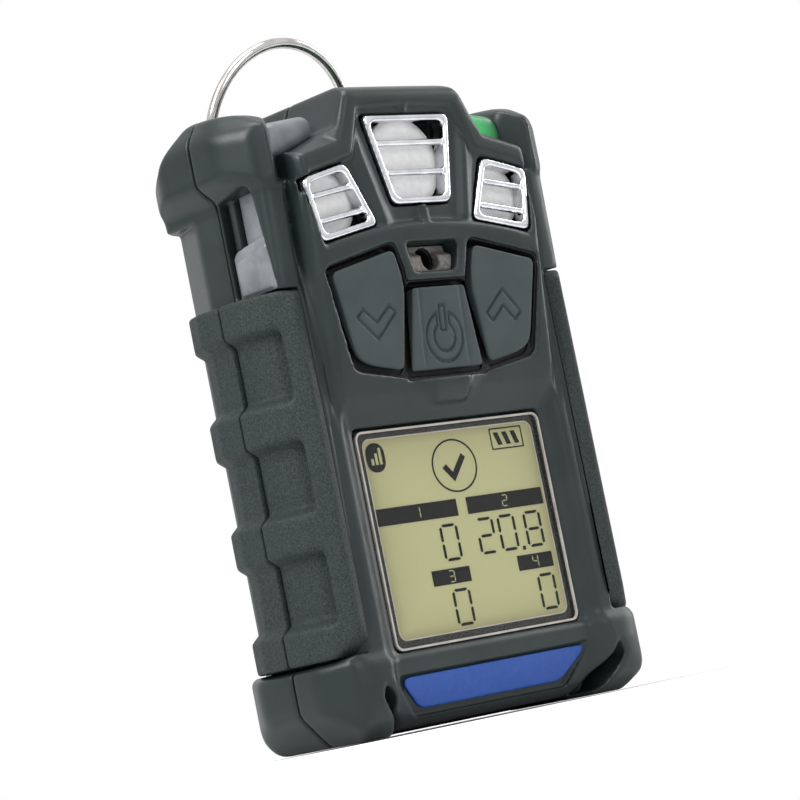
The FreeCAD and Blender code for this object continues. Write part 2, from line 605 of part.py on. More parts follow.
def make_battery():
    cell = new_body("battery_pack")
    pad_z(cell, "batteryLowZ", "batteryTopZ", [
        ("-batteryHalf", "batteryFrontY"), ("batteryHalf", "batteryFrontY"), ("batteryHalf",
                "batteryBackY - 2"),
        ("batteryHalf - 2", "batteryBackY"), ("2 - batteryHalf", "batteryBackY"), ("-batteryHalf",
                "batteryBackY - 2")])
    subpart(cell, "battery_pack")


def make_vibrator():
    motor = new_body("vibration_motor")
    pad_x(motor, "motorLeft", "motorRight", ("motorY", "motorZ", "motorRadius"))
    pad_x(motor, "motorRight", "weightRight", ("motorY", "motorZ", "shaftRadius"))
    subpart(motor, "vibration_motor")
    cradle = new_body("motor_cradle")
    pad_x(cradle, "motorLeft + 1", "motorRight - 1", [
        ("motorY + 1", "motorZ - motorRadius - 1"), ("backY - backWall", "motorZ - motorRadius - 1"),
        ("backY - backWall", "motorZ + motorRadius + 1"), ("motorY + 1", "motorZ + motorRadius + 1")])
    cut_x(cradle, "motorLeft", "motorRight", ("motorY", "motorZ", "motorRadius + slip"))
    subpart(cradle, "motor_cradle")
    weight = new_body("vibration_weight")
    pad_x(weight, "weightLeft", "weightRight - 0.3", ("motorY", "motorZ", "weightRadius"))
    cut_x(weight, "weightLeft", "weightRight", rectangle("motorY - 5", "motorY + 5", "motorZ + 1.4",
                                                         "motorZ + 6"))
    cut_x(weight, "weightLeft", "weightRight", ("motorY", "motorZ", "shaftRadius + slip"))
    subpart(weight, "vibration_weight")


def make_charging_base():
    block = new_body("charging_block")
    pad_z(block, "dockLowZ", "cavityLowZ", rectangle(
        "-dockHalf + slip", "dockHalf - slip", "dockFrontY + slip", "dockRearY - slip"))
    for step in range(4):
        cut_z(block, "dockLowZ", "cavityLowZ", (
            "(%d - 1.5) * contactPitch" % step, "(dockFrontY + dockRearY) / 2", "contactRadius + slip"))
    subpart(block, "charging_block")
    contacts = new_body("charging_contacts")
    for step in range(4):
        pad_z(contacts, "dockLowZ + 0.2", "cavityLowZ + 0.6", (
            "(%d - 1.5) * contactPitch" % step, "(dockFrontY + dockRearY) / 2", "contactRadius"))
    subpart(contacts, "charging_contacts")


# ---- carrying ring and belt clip ---------------------------------------------------------------

def make_ring():
    """Wire ring, made upright about its pivot and then leant forward over the case."""
    body = new_body("carrying_ring")
    half = number("ringHalf")
    leg = number("ringLength - ringHalf")
    path = body.newObject("Sketcher::SketchObject", "RingPath")
    path.AttachmentSupport = (next(f for f in body.Origin.OriginFeatures if f.Role == "XZ_Plane"), [""])
    path.MapMode = "FlatFace"
    path.addGeometry(Part.LineSegment(Vector(-half, 0, 0), Vector(-half, leg, 0)), False)
    path.addGeometry(Part.ArcOfCircle(Part.Circle(Vector(0, leg, 0), Vector(0, 0, 1), half), 0, math.pi),
                     False)
    path.addGeometry(Part.LineSegment(Vector(half, leg, 0), Vector(half, 0, 0)), False)
    path.addConstraint(Sketcher.Constraint("Coincident", 0, 2, 1, 2))
    path.addConstraint(Sketcher.Constraint("Coincident", 1, 1, 2, 1))
    pin_point(path, 0, 1, "-ringHalf", "0")
    pin_point(path, 0, 2, "-ringHalf", "ringLength - ringHalf")
    pin_point(path, 1, 3, "0", "ringLength - ringHalf")
    pin_point(path, 2, 2, "ringHalf", "0")
    shoulder = path.addConstraint(Sketcher.Constraint("DistanceY", -1, 1, 2, 1, leg))
    bind(path, "Constraints[%d]" % shoulder, "ringLength - ringHalf")
    wire = new_sketch(body, "XY", "0")
    draw_circle(wire, "-ringHalf", "0", "wireRadius")
    pipe = body.newObject("PartDesign::AdditivePipe", "Wire")
    pipe.Profile = wire
    pipe.Spine = (path, ["Edge1", "Edge2", "Edge3"])
    for side, word in SIDES:
        ends = ("-ringHalf - wireRadius", "-earInner - 0.4") if side < 0 else ("earInner + 0.4",
                "ringHalf + wireRadius")
        pad_x(body, ends[0], ends[1], ("0", "0", "wireRadius"))
    subpart(body, "carrying_ring")
    body.Placement = Placement(Vector(0, 0, 0), Rotation(Vector(1, 0, 0), number("ringLean")))
    bind(body, "Placement.Base.y", "ringPivotY - " + DEPTH_SHIFT)
    bind(body, "Placement.Base.z", "ringPivotZ")
    bind(body, "Placement.Rotation.Angle", "ringLean")
    return body


def make_ring_bracket():
    body = new_body("ring_bracket")
    plate_back = "backY + earFootThick"
    pad_y(body, "backY", plate_back, rectangle("-earOuter", "earOuter", "ringPivotZ - 4", "ringPivotZ + 2.6"))
    for side, word in SIDES:
        left, right = ("-earOuter", "-earInner") if side < 0 else ("earInner", "earOuter")
        pad_x(body, left, right, [
            ("backY", "ringPivotZ - 4"), ("ringPivotY", "ringPivotZ - 3"), ("ringPivotY + 2.2",
                    "ringPivotZ - 1"),
            ("ringPivotY + 2.2", "ringPivotZ + 1"), ("ringPivotY", "ringPivotZ + 2.6"), ("backY",
                    "ringPivotZ + 2.6")])
        cut_x(body, left, right, ("ringPivotY", "ringPivotZ", "wireRadius + ringRunning"))
    return subpart(body, "ring_bracket")


CLIP_PIN_Y = "backY + clipPlateThick + clipGap / 2 + 0.6"


def make_clip():
    plate_back = "backY + clipPlateThick"
    plate = new_body("clip_plate")
    pad_y(plate, "backY", plate_back, rectangle("-clipHalf", "clipHalf", "clipPlateLowZ", "clipTopZ"))
    for side, word in SIDES:
        left, right = ("-clipHalf", "clipEar - clipHalf") if side < 0 else ("clipHalf - clipEar", "clipHalf")
        pad_x(plate, left, right, [
            (plate_back + " - 0.5", "clipPinZ - 3.6"), (CLIP_PIN_Y, "clipPinZ - clipEarRadius"),
            (CLIP_PIN_Y + " + 1.4", "clipPinZ - 1.2"), (CLIP_PIN_Y + " + 1.4", "clipPinZ + 1.2"),
            (CLIP_PIN_Y, "clipPinZ + clipEarRadius"), (plate_back + " - 0.5", "clipPinZ + 3.6")])
        cut_x(plate, left, right, (CLIP_PIN_Y, "clipPinZ", "clipPinRadius + slip"))
    screw_heights = ("clipScrewLowZ", "clipScrewHighZ")
    for height in screw_heights:
        cut_y(plate, "backY", plate_back, ("0", height, "clipScrewShank + slip"))
        cut_y(plate, "backY + 1", plate_back, ("0", height, "clipScrewHead + slip"))
    subpart(plate, "clip_plate")

    screws = new_body("clip_screws")
    for height in screw_heights:
        pad_y(screws, "backY", "backY + 1", ("0", height, "clipScrewShank"))
        pad_y(screws, "backY + 1", plate_back + " - 0.1", ("0", height, "clipScrewHead"))
    subpart(screws, "clip_screws")

    pin = new_body("clip_pin")
    pad_x(pin, "-clipHalf - 0.4", "clipHalf + 0.4", (CLIP_PIN_Y, "clipPinZ", "clipPinRadius"))
    subpart(pin, "clip_pin")

    lever = new_body("clip_lever")
    inner = plate_back + " + clipGap"
    outer = inner + " + clipThick"
    knuckle = "clipHalf - clipEar - 0.3"
    pad_x(lever, "-clipHalf", "clipHalf", [
        (inner, "clipLowZ + 8"), (plate_back + " - 0.6", "clipLowZ + 4"), (plate_back + " - 0.6",
                "clipLowZ + 2"),
        (plate_back + " + 1.4", "clipLowZ"), (outer, "clipLowZ + 6.5"), (outer, "clipPinZ + 3"),
        (outer + " + clipTabOut", "clipTopZ"), (inner + " + clipTabOut", "clipTopZ"),
        (inner, "clipPinZ + 4")])
    for left, right in (("-(%s)" % knuckle, "clipKnuckle - (%s)" % knuckle),
                        ("%s - clipKnuckle" % knuckle, knuckle)):
        pad_x(lever, left, right, [
            (inner + " + 0.2", "clipPinZ - 4.5"), (CLIP_PIN_Y + " - 0.6", "clipPinZ - 2.2"),
            (CLIP_PIN_Y + " - 2.1", "clipPinZ - 0.8"), (CLIP_PIN_Y + " - 2.1", "clipPinZ + 0.8"),
            (CLIP_PIN_Y + " - 0.6", "clipPinZ + 2.2"), (inner + " + 0.2", "clipPinZ + 3.5")])
    cut_x(lever, "-clipHalf", "clipHalf", (CLIP_PIN_Y, "clipPinZ", "clipPinRadius + clipRunning"))
    subpart(lever, "clip_lever")

    spring = new_body("clip_spring")
    pad_x(spring, "-clipSpringHalf", "clipSpringHalf", (CLIP_PIN_Y, "clipPinZ", "clipSpringRadius"),
          (CLIP_PIN_Y, "clipPinZ", "clipPinRadius + slip"))
    subpart(spring, "clip_spring")


def make_rear_label():
    body = new_body("rear_label")
    pad_y(body, "backY", "backY + 0.15", rectangle("-19", "19", "clipTopZ + 4", "ringPivotZ - 6"))
    return subpart(body, "rear_label")


make_front_case()
make_rear_case()
make_case_seal()
make_case_screws()
for side, word in SIDES:
    for half in ("front", "rear"):
        make_grip(side, word, half)
make_display()
make_keys()
make_keypad()
make_horn()
make_inlets()
make_sensors()
make_lenses()
make_label()
make_electronics()
make_battery()
make_vibrator()
make_charging_base()
make_ring()
make_ring_bracket()
make_clip()
make_rear_label()

document.recompute()
failed = [item.Name for item in document.Objects if {"Invalid", "Error"} & set(item.State)]
if failed:
    raise RuntimeError("these objects did not compute: %s" % ", ".join(failed))
os.makedirs("parts", exist_ok=True)
for piece in subparts:
    if piece.Shape.isNull() or not piece.Shape.isValid():
        raise RuntimeError("%s has no valid shape" % piece.Label)
for piece in subparts:
    piece.Shape.exportStep("parts/%s.step" % piece.Label)
    print("%-22s %3d solids %10.1f mm3" % (piece.Label, len(piece.Shape.Solids), piece.Shape.Volume))
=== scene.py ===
import math
import bmesh
import bpy
import numpy as np
from mathutils import Matrix, Vector


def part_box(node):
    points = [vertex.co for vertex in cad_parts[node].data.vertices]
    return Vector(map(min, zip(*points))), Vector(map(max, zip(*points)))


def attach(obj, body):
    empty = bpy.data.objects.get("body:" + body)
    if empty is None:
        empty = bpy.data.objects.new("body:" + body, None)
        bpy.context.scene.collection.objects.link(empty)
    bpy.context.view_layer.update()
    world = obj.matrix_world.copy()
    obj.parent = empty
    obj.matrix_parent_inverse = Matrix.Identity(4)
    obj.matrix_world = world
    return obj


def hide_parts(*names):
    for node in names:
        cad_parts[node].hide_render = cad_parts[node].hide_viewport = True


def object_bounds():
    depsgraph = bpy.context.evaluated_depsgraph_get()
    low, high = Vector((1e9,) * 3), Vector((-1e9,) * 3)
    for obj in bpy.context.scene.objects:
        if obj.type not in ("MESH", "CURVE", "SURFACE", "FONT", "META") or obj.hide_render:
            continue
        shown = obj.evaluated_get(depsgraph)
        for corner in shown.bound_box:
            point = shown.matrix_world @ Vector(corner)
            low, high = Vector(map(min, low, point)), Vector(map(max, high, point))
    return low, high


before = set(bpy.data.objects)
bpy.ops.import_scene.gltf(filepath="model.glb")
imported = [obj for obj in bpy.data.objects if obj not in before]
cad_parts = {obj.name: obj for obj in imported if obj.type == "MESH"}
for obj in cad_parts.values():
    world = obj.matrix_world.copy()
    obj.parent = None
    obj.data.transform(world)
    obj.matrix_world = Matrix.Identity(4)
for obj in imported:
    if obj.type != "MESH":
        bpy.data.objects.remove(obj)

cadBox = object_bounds()
mm = 0.001
caseLow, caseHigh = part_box("front_case")
frontY = caseLow[1]
caseTop = caseHigh[2]
scene = bpy.context.scene


# Small helpers.

def newMesh(name, vertices, faces, smooth=True):
    mesh = bpy.data.meshes.new(name)
    mesh.from_pydata([tuple(v) for v in vertices], [], [tuple(int(i) for i in f) for f in faces])
    mesh.validate()
    mesh.polygons.foreach_set("use_smooth", [smooth] * len(mesh.polygons))
    piece = bpy.data.objects.new(name, mesh)
    scene.collection.objects.link(piece)
    return piece


def applyModifier(piece, kind, **settings):
    modifier = piece.modifiers.new(kind.title(), kind)
    for key, value in settings.items():
        setattr(modifier, key, value)
    graph = bpy.context.evaluated_depsgraph_get()
    flat = bpy.data.meshes.new_from_object(piece.evaluated_get(graph))
    piece.modifiers.clear()
    old = piece.data
    piece.data = flat
    bpy.data.meshes.remove(old)


def finishPiece(piece, material, body="case", replaces=()):
    piece.data.materials.clear()
    piece.data.materials.append(material)
    if replaces:
        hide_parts(*replaces)
    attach(piece, body)
    return piece


# Shapes as distance fields, in millimetres from the case's front, middle and sole.

def smoothMax(a, b, k):
    h = np.clip(0.5 + 0.5 * (a - b) / k, 0, 1)
    return b * (1 - h) + a * h + k * h * (1 - h)


def smoothMin(a, b, k):
    return -smoothMax(-a, -b, k)


def fade(value, start, end):
    t = np.clip((value - start) / (end - start), 0, 1)
    return t * t * (3 - 2 * t)


def polygonField(u, v, points):
    # Exact distance to a closed outline, negative inside.
    best = np.full(np.broadcast(u, v).shape, 1e9, dtype=np.float32)
    inside = np.zeros(best.shape, dtype=bool)
    for (ax, ay), (bx, by) in zip(points, points[1:] + points[:1]):
        ex, ey = bx - ax, by - ay
        if ex == ey == 0:
            continue
        wx, wy = u - ax, v - ay
        t = np.clip((wx * ex + wy * ey) / (ex * ex + ey * ey), 0, 1)
        best = np.minimum(best, (wx - ex * t) ** 2 + (wy - ey * t) ** 2)
        crosses = ((ay > v) != (by > v)) & (u < (bx - ax) * (v - ay) / (by - ay + 1e-12) + ax)
        inside ^= crosses
    best = np.sqrt(best)
    return np.where(inside, -best, best)


def convexField(u, v, points, soft):
    # Outline of a convex shape with its corners rounded.
    area = sum(a[0] * b[1] - b[0] * a[1] for a, b in zip(points, points[1:] + points[:1]))
    turn = 1 if area > 0 else -1
    field = None
    for (ax, ay), (bx, by) in zip(points, points[1:] + points[:1]):
        length = math.hypot(bx - ax, by - ay)
        side = turn * ((by - ay) * (u - ax) - (bx - ax) * (v - ay)) / length
        field = side if field is None else smoothMax(field, side, soft)
    return field


def mirrored(points):
    return points + [(-x, z) for x, z in points[::-1]]


def blur(plane, pitch, sigma):
    reach = max(1, int(3 * sigma / pitch))
    steps = np.arange(-reach, reach + 1) * pitch
    weights = np.exp(-0.5 * (steps / sigma) ** 2)
    weights /= weights.sum()
    for axis in (0, 1):
        padded = np.pad(plane, [(reach, reach) if a == axis else (0, 0) for a in (0, 1)], mode="edge")
        plane = sum(w * np.take(padded, range(i, i + plane.shape[axis]), axis=axis)
                    for i, w in enumerate(weights))
    return plane


def planField(x, y, points, pitch, soft):
    # The same outline at every height, seen from above.
    return blur(polygonField(x[:, :, 0], y[0, :, 0][None, :], points), pitch, soft)[:, :, None]


def frontField(x, z, points, pitch, soft):
    return blur(polygonField(x[:, 0, :], z[0], points), pitch, soft)[:, None, :]


class Block:
    # A box of sample points, with a surface drawn where its field crosses zero.
    # Its margin keeps the surface off the outermost samples.

    def __init__(self, low, high, pitch):
        self.low, self.pitch = np.array(low, float) - 1.5 * pitch, pitch
        counts = np.ceil((np.array(high) - np.array(low)) / pitch).astype(int) + 4
        axes = [self.low[i] + pitch * np.arange(counts[i]) for i in range(3)]
        self.x = axes[0][:, None, None].astype(np.float32)
        self.y = axes[1][None, :, None].astype(np.float32)
        self.z = axes[2][None, None, :].astype(np.float32)
        self.shape = tuple(counts)

    def surface(self, name, field, keep=1.0):
        field = np.broadcast_to(field, self.shape).astype(np.float32)
        inside = field < 0
        nx, ny, nz = self.shape
        cells = (nx - 1, ny - 1, nz - 1)
        count = np.zeros(cells, np.int8)
        corner = {}
        for i in (0, 1):
            for j in (0, 1):
                for k in (0, 1):
                    window = (slice(i, nx - 1 + i), slice(j, ny - 1 + j), slice(k, nz - 1 + k))
                    corner[i, j, k] = window
                    count += inside[window]
        active = (count > 0) & (count < 8)
        number = np.full(cells, -1, np.int64)
        number[active] = np.arange(active.sum())
        total = np.zeros((active.sum(), 3), np.float32)
        hits = np.zeros(active.sum(), np.float32)
        values = {key: field[window][active] for key, window in corner.items()}
        for a in corner:
            for axis in range(3):
                if a[axis]:
                    continue
                b = tuple(1 if n == axis else a[n] for n in range(3))
                fa, fb = values[a], values[b]
                crosses = (fa < 0) != (fb < 0)
                t = np.where(crosses, fa / np.where(crosses, fa - fb, 1), 0)
                for n in range(3):
                    total[:, n] += crosses * (t if n == axis else a[n])
                hits += crosses
        spots = total / hits[:, None] + np.argwhere(active)
        vertices = (self.low + self.pitch * spots) * mm
        vertices[:, 1] += frontY
        vertices = np.clip(vertices, cadBox[0], cadBox[1])
        faces = []
        for axis in range(3):
            b, c = [(1, 2), (2, 0), (0, 1)][axis]
            first = [slice(1, -1)] * 3
            first[axis] = slice(0, -1)
            second = list(first)
            second[axis] = slice(1, None)
            start, stop = inside[tuple(first)], inside[tuple(second)]
            for mask, flipped in ((start & ~stop, False), (~start & stop, True)):
                where = np.argwhere(mask)
                where[:, b] += 1
                where[:, c] += 1
                around = []
                for db, dc in ((-1, -1), (0, -1), (0, 0), (-1, 0)):
                    spot = where.copy()
                    spot[:, b] += db
                    spot[:, c] += dc
                    around.append(number[spot[:, 0], spot[:, 1], spot[:, 2]])
                faces.append(np.stack(around[::-1] if flipped else around, axis=1))
        faces = np.concatenate(faces)
        piece = self.meshFrom(name, vertices, faces)
        if keep < 1:
            applyModifier(piece, "DECIMATE", ratio=keep)
            piece.data.polygons.foreach_set("use_smooth", [True] * len(piece.data.polygons))
        return piece

    def meshFrom(self, name, vertices, faces):
        mesh = bpy.data.meshes.new(name)
        mesh.vertices.add(len(vertices))
        mesh.vertices.foreach_set("co", vertices.astype(np.float32).ravel())
        mesh.loops.add(faces.size)
        mesh.loops.foreach_set("vertex_index", faces.astype(np.int32).ravel())
        mesh.polygons.add(len(faces))
        mesh.polygons.foreach_set("loop_start", np.arange(0, faces.size, 4, dtype=np.int32))
        mesh.polygons.foreach_set("loop_total", np.full(len(faces), 4, dtype=np.int32))
        mesh.update(calc_edges=True)
        mesh.validate()
        mesh.polygons.foreach_set("use_smooth", [True] * len(mesh.polygons))
        piece = bpy.data.objects.new(name, mesh)
        scene.collection.objects.link(piece)
        return piece


def atFront(point):
    # A point of the frame, in millimetres from the case's front.
    return (point[0] / mm, (point[1] - frontY) / mm, point[2] / mm)


def nodeBox(name):
    low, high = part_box(name)
    return atFront(low), atFront(high)


# Materials.

def newMaterial(name):
    material = bpy.data.materials.new(name)
    material.use_nodes = True
    nodes = material.node_tree.nodes
    nodes.clear()
    output = nodes.new("ShaderNodeOutputMaterial")
    shader = nodes.new("ShaderNodeBsdfPrincipled")
    material.node_tree.links.new(shader.outputs[0], output.inputs[0])
    coordinates = nodes.new("ShaderNodeTexCoord")
    return material, nodes, material.node_tree.links, shader, coordinates.outputs["Object"]


def addNode(nodes, kind, values=(), **settings):
    node = nodes.new(kind)
    for key, value in settings.items():
        setattr(node, key, value)
    for key, value in dict(values).items():
        node.inputs[key].default_value = value
    return node


def wireIn(links, node, **sources):
    # Joins each source to the input of that name; a name like x1 means input number 1.
    for key, source in sources.items():
        spot = int(key[1:]) if key[1:].isdigit() else key.replace("_", " ")
        links.new(source, node.inputs[spot])
    return node.outputs[0]


def outputNode(nodes):
    return next(node for node in nodes if node.type == "OUTPUT_MATERIAL")


def noiseNode(nodes, links, where, scale, detail=4.0, roughness=0.5):
    noise = addNode(nodes, "ShaderNodeTexNoise", {"Scale": scale, "Detail": detail, "Roughness": roughness})
    links.new(where, noise.inputs["Vector"])
    return noise.outputs["Fac"]


def rampNode(nodes, links, source, stops):
    ramp = nodes.new("ShaderNodeValToRGB")
    links.new(source, ramp.inputs["Fac"])
    elements = ramp.color_ramp.elements
    elements[0].position, elements[0].color = stops[0][0], (*stops[0][1], 1)
    elements[1].position, elements[1].color = stops[-1][0], (*stops[-1][1], 1)
    for position, colour in stops[1:-1]:
        element = elements.new(position)
        element.color = (*colour, 1)
    return ramp.outputs["Color"]


def rangeNode(nodes, links, source, low, high, fromLow=0.3, fromHigh=0.7):
    remap = addNode(nodes, "ShaderNodeMapRange", {
        "From Min": fromLow, "From Max": fromHigh, "To Min": low, "To Max": high})
    return wireIn(links, remap, Value=source)


def bumpNode(nodes, links, height, strength, distance, under=None):
    bump = addNode(nodes, "ShaderNodeBump", {"Strength": strength, "Distance": distance})
    links.new(height, bump.inputs["Height"])
    if under is not None:
        links.new(under, bump.inputs["Normal"])
    return bump.outputs["Normal"]


def mouldedMaterial(name, look):
    # Moulded rubber or plastic: mottled colour, grain and a softer swell.
    material, nodes, links, shader, where = newMaterial(name)
    tone = noiseNode(nodes, links, where, look["mottle"], 3.0)
    links.new(rampNode(nodes, links, tone, [(0.35, look["dark"]), (0.65, look["light"])]),
              shader.inputs["Base Color"])
    grain = noiseNode(nodes, links, where, look["grain"], 2.0, 0.6)
    links.new(rangeNode(nodes, links, grain, look["rough"][0], look["rough"][1]), shader.inputs["Roughness"])
    swell = noiseNode(nodes, links, where, look["grain"] * 0.18, 2.0)
    soft = bumpNode(nodes, links, swell, look["bump"] * 0.5, look["depth"] * 2)
    links.new(bumpNode(nodes, links, grain, look["bump"], look["depth"], soft), shader.inputs["Normal"])
    shader.inputs["Specular IOR Level"].default_value = look.get("specular", 0.5)
    if "sheen" in look:
        shader.inputs["Sheen Weight"].default_value = look["sheen"]
        shader.inputs["Sheen Roughness"].default_value = 0.5
    return material


def metalMaterial(name, look):
    material, nodes, links, shader, where = newMaterial(name)
    tone = noiseNode(nodes, links, where, look["mottle"], 4.0)
    links.new(rampNode(nodes, links, tone, [(0.3, look["dark"]), (0.7, look["light"])]),
              shader.inputs["Base Color"])
    shader.inputs["Metallic"].default_value = 1.0
    links.new(rangeNode(nodes, links, tone, look["rough"][0], look["rough"][1]), shader.inputs["Roughness"])
    fine = noiseNode(nodes, links, where, look["grain"], 2.0)
    links.new(bumpNode(nodes, links, fine, look["bump"], 0.00005), shader.inputs["Normal"])
    return material


caseRubber = mouldedMaterial("caseRubber", {
    "dark": (0.0105, 0.0170, 0.0165), "light": (0.017, 0.0250, 0.0245), "mottle": 90, "grain": 4200,
    "rough": (0.30, 0.42), "bump": 0.16, "depth": 0.00003, "specular": 0.30})
gripRubber = mouldedMaterial("gripRubber", {
    "dark": (0.008, 0.0135, 0.0130), "light": (0.030, 0.041, 0.039), "mottle": 3400, "grain": 3000,
    "rough": (0.48, 0.72), "bump": 1.0, "depth": 0.00012, "specular": 0.25})
keyRubber = mouldedMaterial("keyRubber", {
    "dark": (0.036, 0.049, 0.049), "light": (0.045, 0.059, 0.059), "mottle": 140, "grain": 5200,
    "rough": (0.50, 0.62), "bump": 0.10, "depth": 0.00002, "specular": 0.22})
blackRubber = mouldedMaterial("blackRubber", {
    "dark": (0.003, 0.003, 0.003), "light": (0.007, 0.007, 0.008), "mottle": 200, "grain": 3000,
    "rough": (0.5, 0.7), "bump": 0.2, "depth": 0.00004, "specular": 0.3})
chromeTrim = metalMaterial("chromeTrim", {
    "dark": (0.54, 0.56, 0.59), "light": (0.74, 0.75, 0.77), "mottle": 300, "grain": 1800,
    "rough": (0.05, 0.14), "bump": 0.05})
springWire = metalMaterial("springWire", {
    "dark": (0.42, 0.40, 0.38), "light": (0.62, 0.61, 0.60), "mottle": 400, "grain": 2500,
    "rough": (0.06, 0.18), "bump": 0.08})
plainSteel = metalMaterial("plainSteel", {
    "dark": (0.50, 0.51, 0.52), "light": (0.56, 0.57, 0.58), "mottle": 900, "grain": 3200,
    "rough": (0.26, 0.42), "bump": 0.2})
filterWhite = mouldedMaterial("filterWhite", {
    "dark": (0.80, 0.79, 0.78), "light": (0.86, 0.855, 0.85), "mottle": 900, "grain": 5200,
    "rough": (0.3, 0.5), "bump": 0.3, "depth": 0.00003, "specular": 0.5})
lensPlastic = mouldedMaterial("lensPlastic", {
    "dark": (0.12, 0.135, 0.145), "light": (0.19, 0.205, 0.215), "mottle": 260, "grain": 3400,
    "rough": (0.30, 0.46), "bump": 0.25, "depth": 0.00004, "specular": 0.6})
hornPlastic = mouldedMaterial("hornPlastic", {
    "dark": (0.10, 0.093, 0.088), "light": (0.20, 0.185, 0.175), "mottle": 1500, "grain": 3000,
    "rough": (0.5, 0.7), "bump": 0.4, "depth": 0.00005})
labelBlue = mouldedMaterial("labelBlue", {
    "dark": (0.003, 0.050, 0.270), "light": (0.004, 0.062, 0.320), "mottle": 700, "grain": 5000,
    "rough": (0.30, 0.42), "bump": 0.08, "depth": 0.00002, "specular": 0.4})
labelGrey = mouldedMaterial("labelGrey", {
    "dark": (0.335, 0.345, 0.345), "light": (0.36, 0.37, 0.37), "mottle": 900, "grain": 4000,
    "rough": (0.4, 0.55), "bump": 0.1, "depth": 0.00002})
frameEdge = mouldedMaterial("frameEdge", {
    "dark": (0.34, 0.31, 0.28), "light": (0.46, 0.43, 0.39), "mottle": 300, "grain": 4000,
    "rough": (0.25, 0.4), "bump": 0.1, "depth": 0.00002})
bezelBlack = mouldedMaterial("bezelBlack", {
    "dark": (0.004, 0.005, 0.003), "light": (0.010, 0.011, 0.007), "mottle": 120, "grain": 4000,
    "rough": (0.2, 0.34), "bump": 0.05, "depth": 0.00002})
inkBlack = mouldedMaterial("inkBlack", {
    "dark": (0.002, 0.002, 0.002), "light": (0.005, 0.005, 0.005), "mottle": 400, "grain": 4000,
    "rough": (0.35, 0.5), "bump": 0.05, "depth": 0.00002, "specular": 0.2})
clipPlastic = mouldedMaterial("clipPlastic", {
    "dark": (0.012, 0.014, 0.015), "light": (0.020, 0.023, 0.024), "mottle": 300, "grain": 3800,
    "rough": (0.35, 0.5), "bump": 0.3, "depth": 0.00004})
goldContact = metalMaterial("goldContact", {
    "dark": (0.72, 0.50, 0.20), "light": (0.86, 0.63, 0.30), "mottle": 500, "grain": 2500,
    "rough": (0.15, 0.3), "bump": 0.1})
boardGreen = mouldedMaterial("boardGreen", {
    "dark": (0.008, 0.060, 0.028), "light": (0.014, 0.090, 0.042), "mottle": 900, "grain": 4000,
    "rough": (0.3, 0.45), "bump": 0.2, "depth": 0.00003})
cellWrap = mouldedMaterial("cellWrap", {
    "dark": (0.020, 0.030, 0.080), "light": (0.030, 0.042, 0.100), "mottle": 300, "grain": 2600,
    "rough": (0.25, 0.4), "bump": 0.2, "depth": 0.00004})
sensorCan = metalMaterial("sensorCan", {
    "dark": (0.50, 0.51, 0.52), "light": (0.66, 0.67, 0.68), "mottle": 400, "grain": 2600,
    "rough": (0.25, 0.4), "bump": 0.15})


# Display colours from its middle to its edges: the darker edge tones are painted shade, and edge sets how
# close to the edges that shade starts.
panelLook = {
    "colours": [(0.0, (0.405, 0.395, 0.200)), (0.5, (0.36, 0.35, 0.172)), (1.0, (0.25, 0.24, 0.11))],
    "edge": 6.0, "grain": 5000, "rough": (0.35, 0.5), "bump": 0.05, "depth": 0.00002,
}


def liquidCrystalMaterial():
    # Olive reflective display, with painted shade that makes it a little darker towards its edges.
    material, nodes, links, shader, where = newMaterial("liquidCrystal")
    split = nodes.new("ShaderNodeSeparateXYZ")
    links.new(where, split.inputs[0])
    low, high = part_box("display_panel")
    reach = []
    for axis, index in (("X", 0), ("Z", 2)):
        across = rangeNode(nodes, links, split.outputs[axis], -1.0, 1.0, low[index], high[index])
        size = wireIn(links, addNode(nodes, "ShaderNodeMath", operation="ABSOLUTE"), x0=across)
        power = addNode(nodes, "ShaderNodeMath", {1: panelLook["edge"]}, operation="POWER")
        reach.append(wireIn(links, power, x0=size))
    both = wireIn(links, addNode(nodes, "ShaderNodeMath", operation="MAXIMUM"), x0=reach[0], x1=reach[1])
    links.new(rampNode(nodes, links, both, panelLook["colours"]), shader.inputs["Base Color"])
    fine = noiseNode(nodes, links, where, panelLook["grain"], 2.0)
    links.new(rangeNode(nodes, links, fine, *panelLook["rough"]), shader.inputs["Roughness"])
    links.new(bumpNode(nodes, links, fine, panelLook["bump"], panelLook["depth"]), shader.inputs["Normal"])
    return material


glassLook = {"tint": (0.12, 0.13, 0.12, 1), "grain": 60, "rough": (0.03, 0.09), "gloss": (0.015, 0.10)}


def glassMaterial():
    # Clear cover: almost all see-through, with a faint gloss that grows at a slant.
    material, nodes, links, shader, where = newMaterial("windowGlass")
    fine = noiseNode(nodes, links, where, glassLook["grain"], 2.0)
    links.new(rangeNode(nodes, links, fine, *glassLook["rough"]), shader.inputs["Roughness"])
    shader.inputs["Base Color"].default_value = glassLook["tint"]
    clear = nodes.new("ShaderNodeBsdfTransparent")
    slant = nodes.new("ShaderNodeLayerWeight").outputs["Facing"]
    gloss = rangeNode(nodes, links, slant, *glassLook["gloss"], 0.2, 1.0)
    mix = nodes.new("ShaderNodeMixShader")
    mix = wireIn(links, mix, Fac=gloss, x1=clear.outputs[0], x2=shader.outputs[0])
    links.new(mix, outputNode(nodes).inputs[0])
    return material


def glowMaterial(name, look):
    # Frosted plastic lit from within near one spot.
    material = mouldedMaterial(name, look)
    nodes, links = material.node_tree.nodes, material.node_tree.links
    shader = next(node for node in nodes if node.type == "BSDF_PRINCIPLED")
    where = next(node for node in nodes if node.type == "TEX_COORD").outputs["Object"]
    away = addNode(nodes, "ShaderNodeVectorMath", {1: look["spot"]}, operation="DISTANCE")
    links.new(where, away.inputs[0])
    glow = rangeNode(nodes, links, away.outputs["Value"], look["strength"], 0.0, *look["reach"])
    links.new(glow, shader.inputs["Emission Strength"])
    shader.inputs["Emission Color"].default_value = (*look["glow"], 1)
    return material


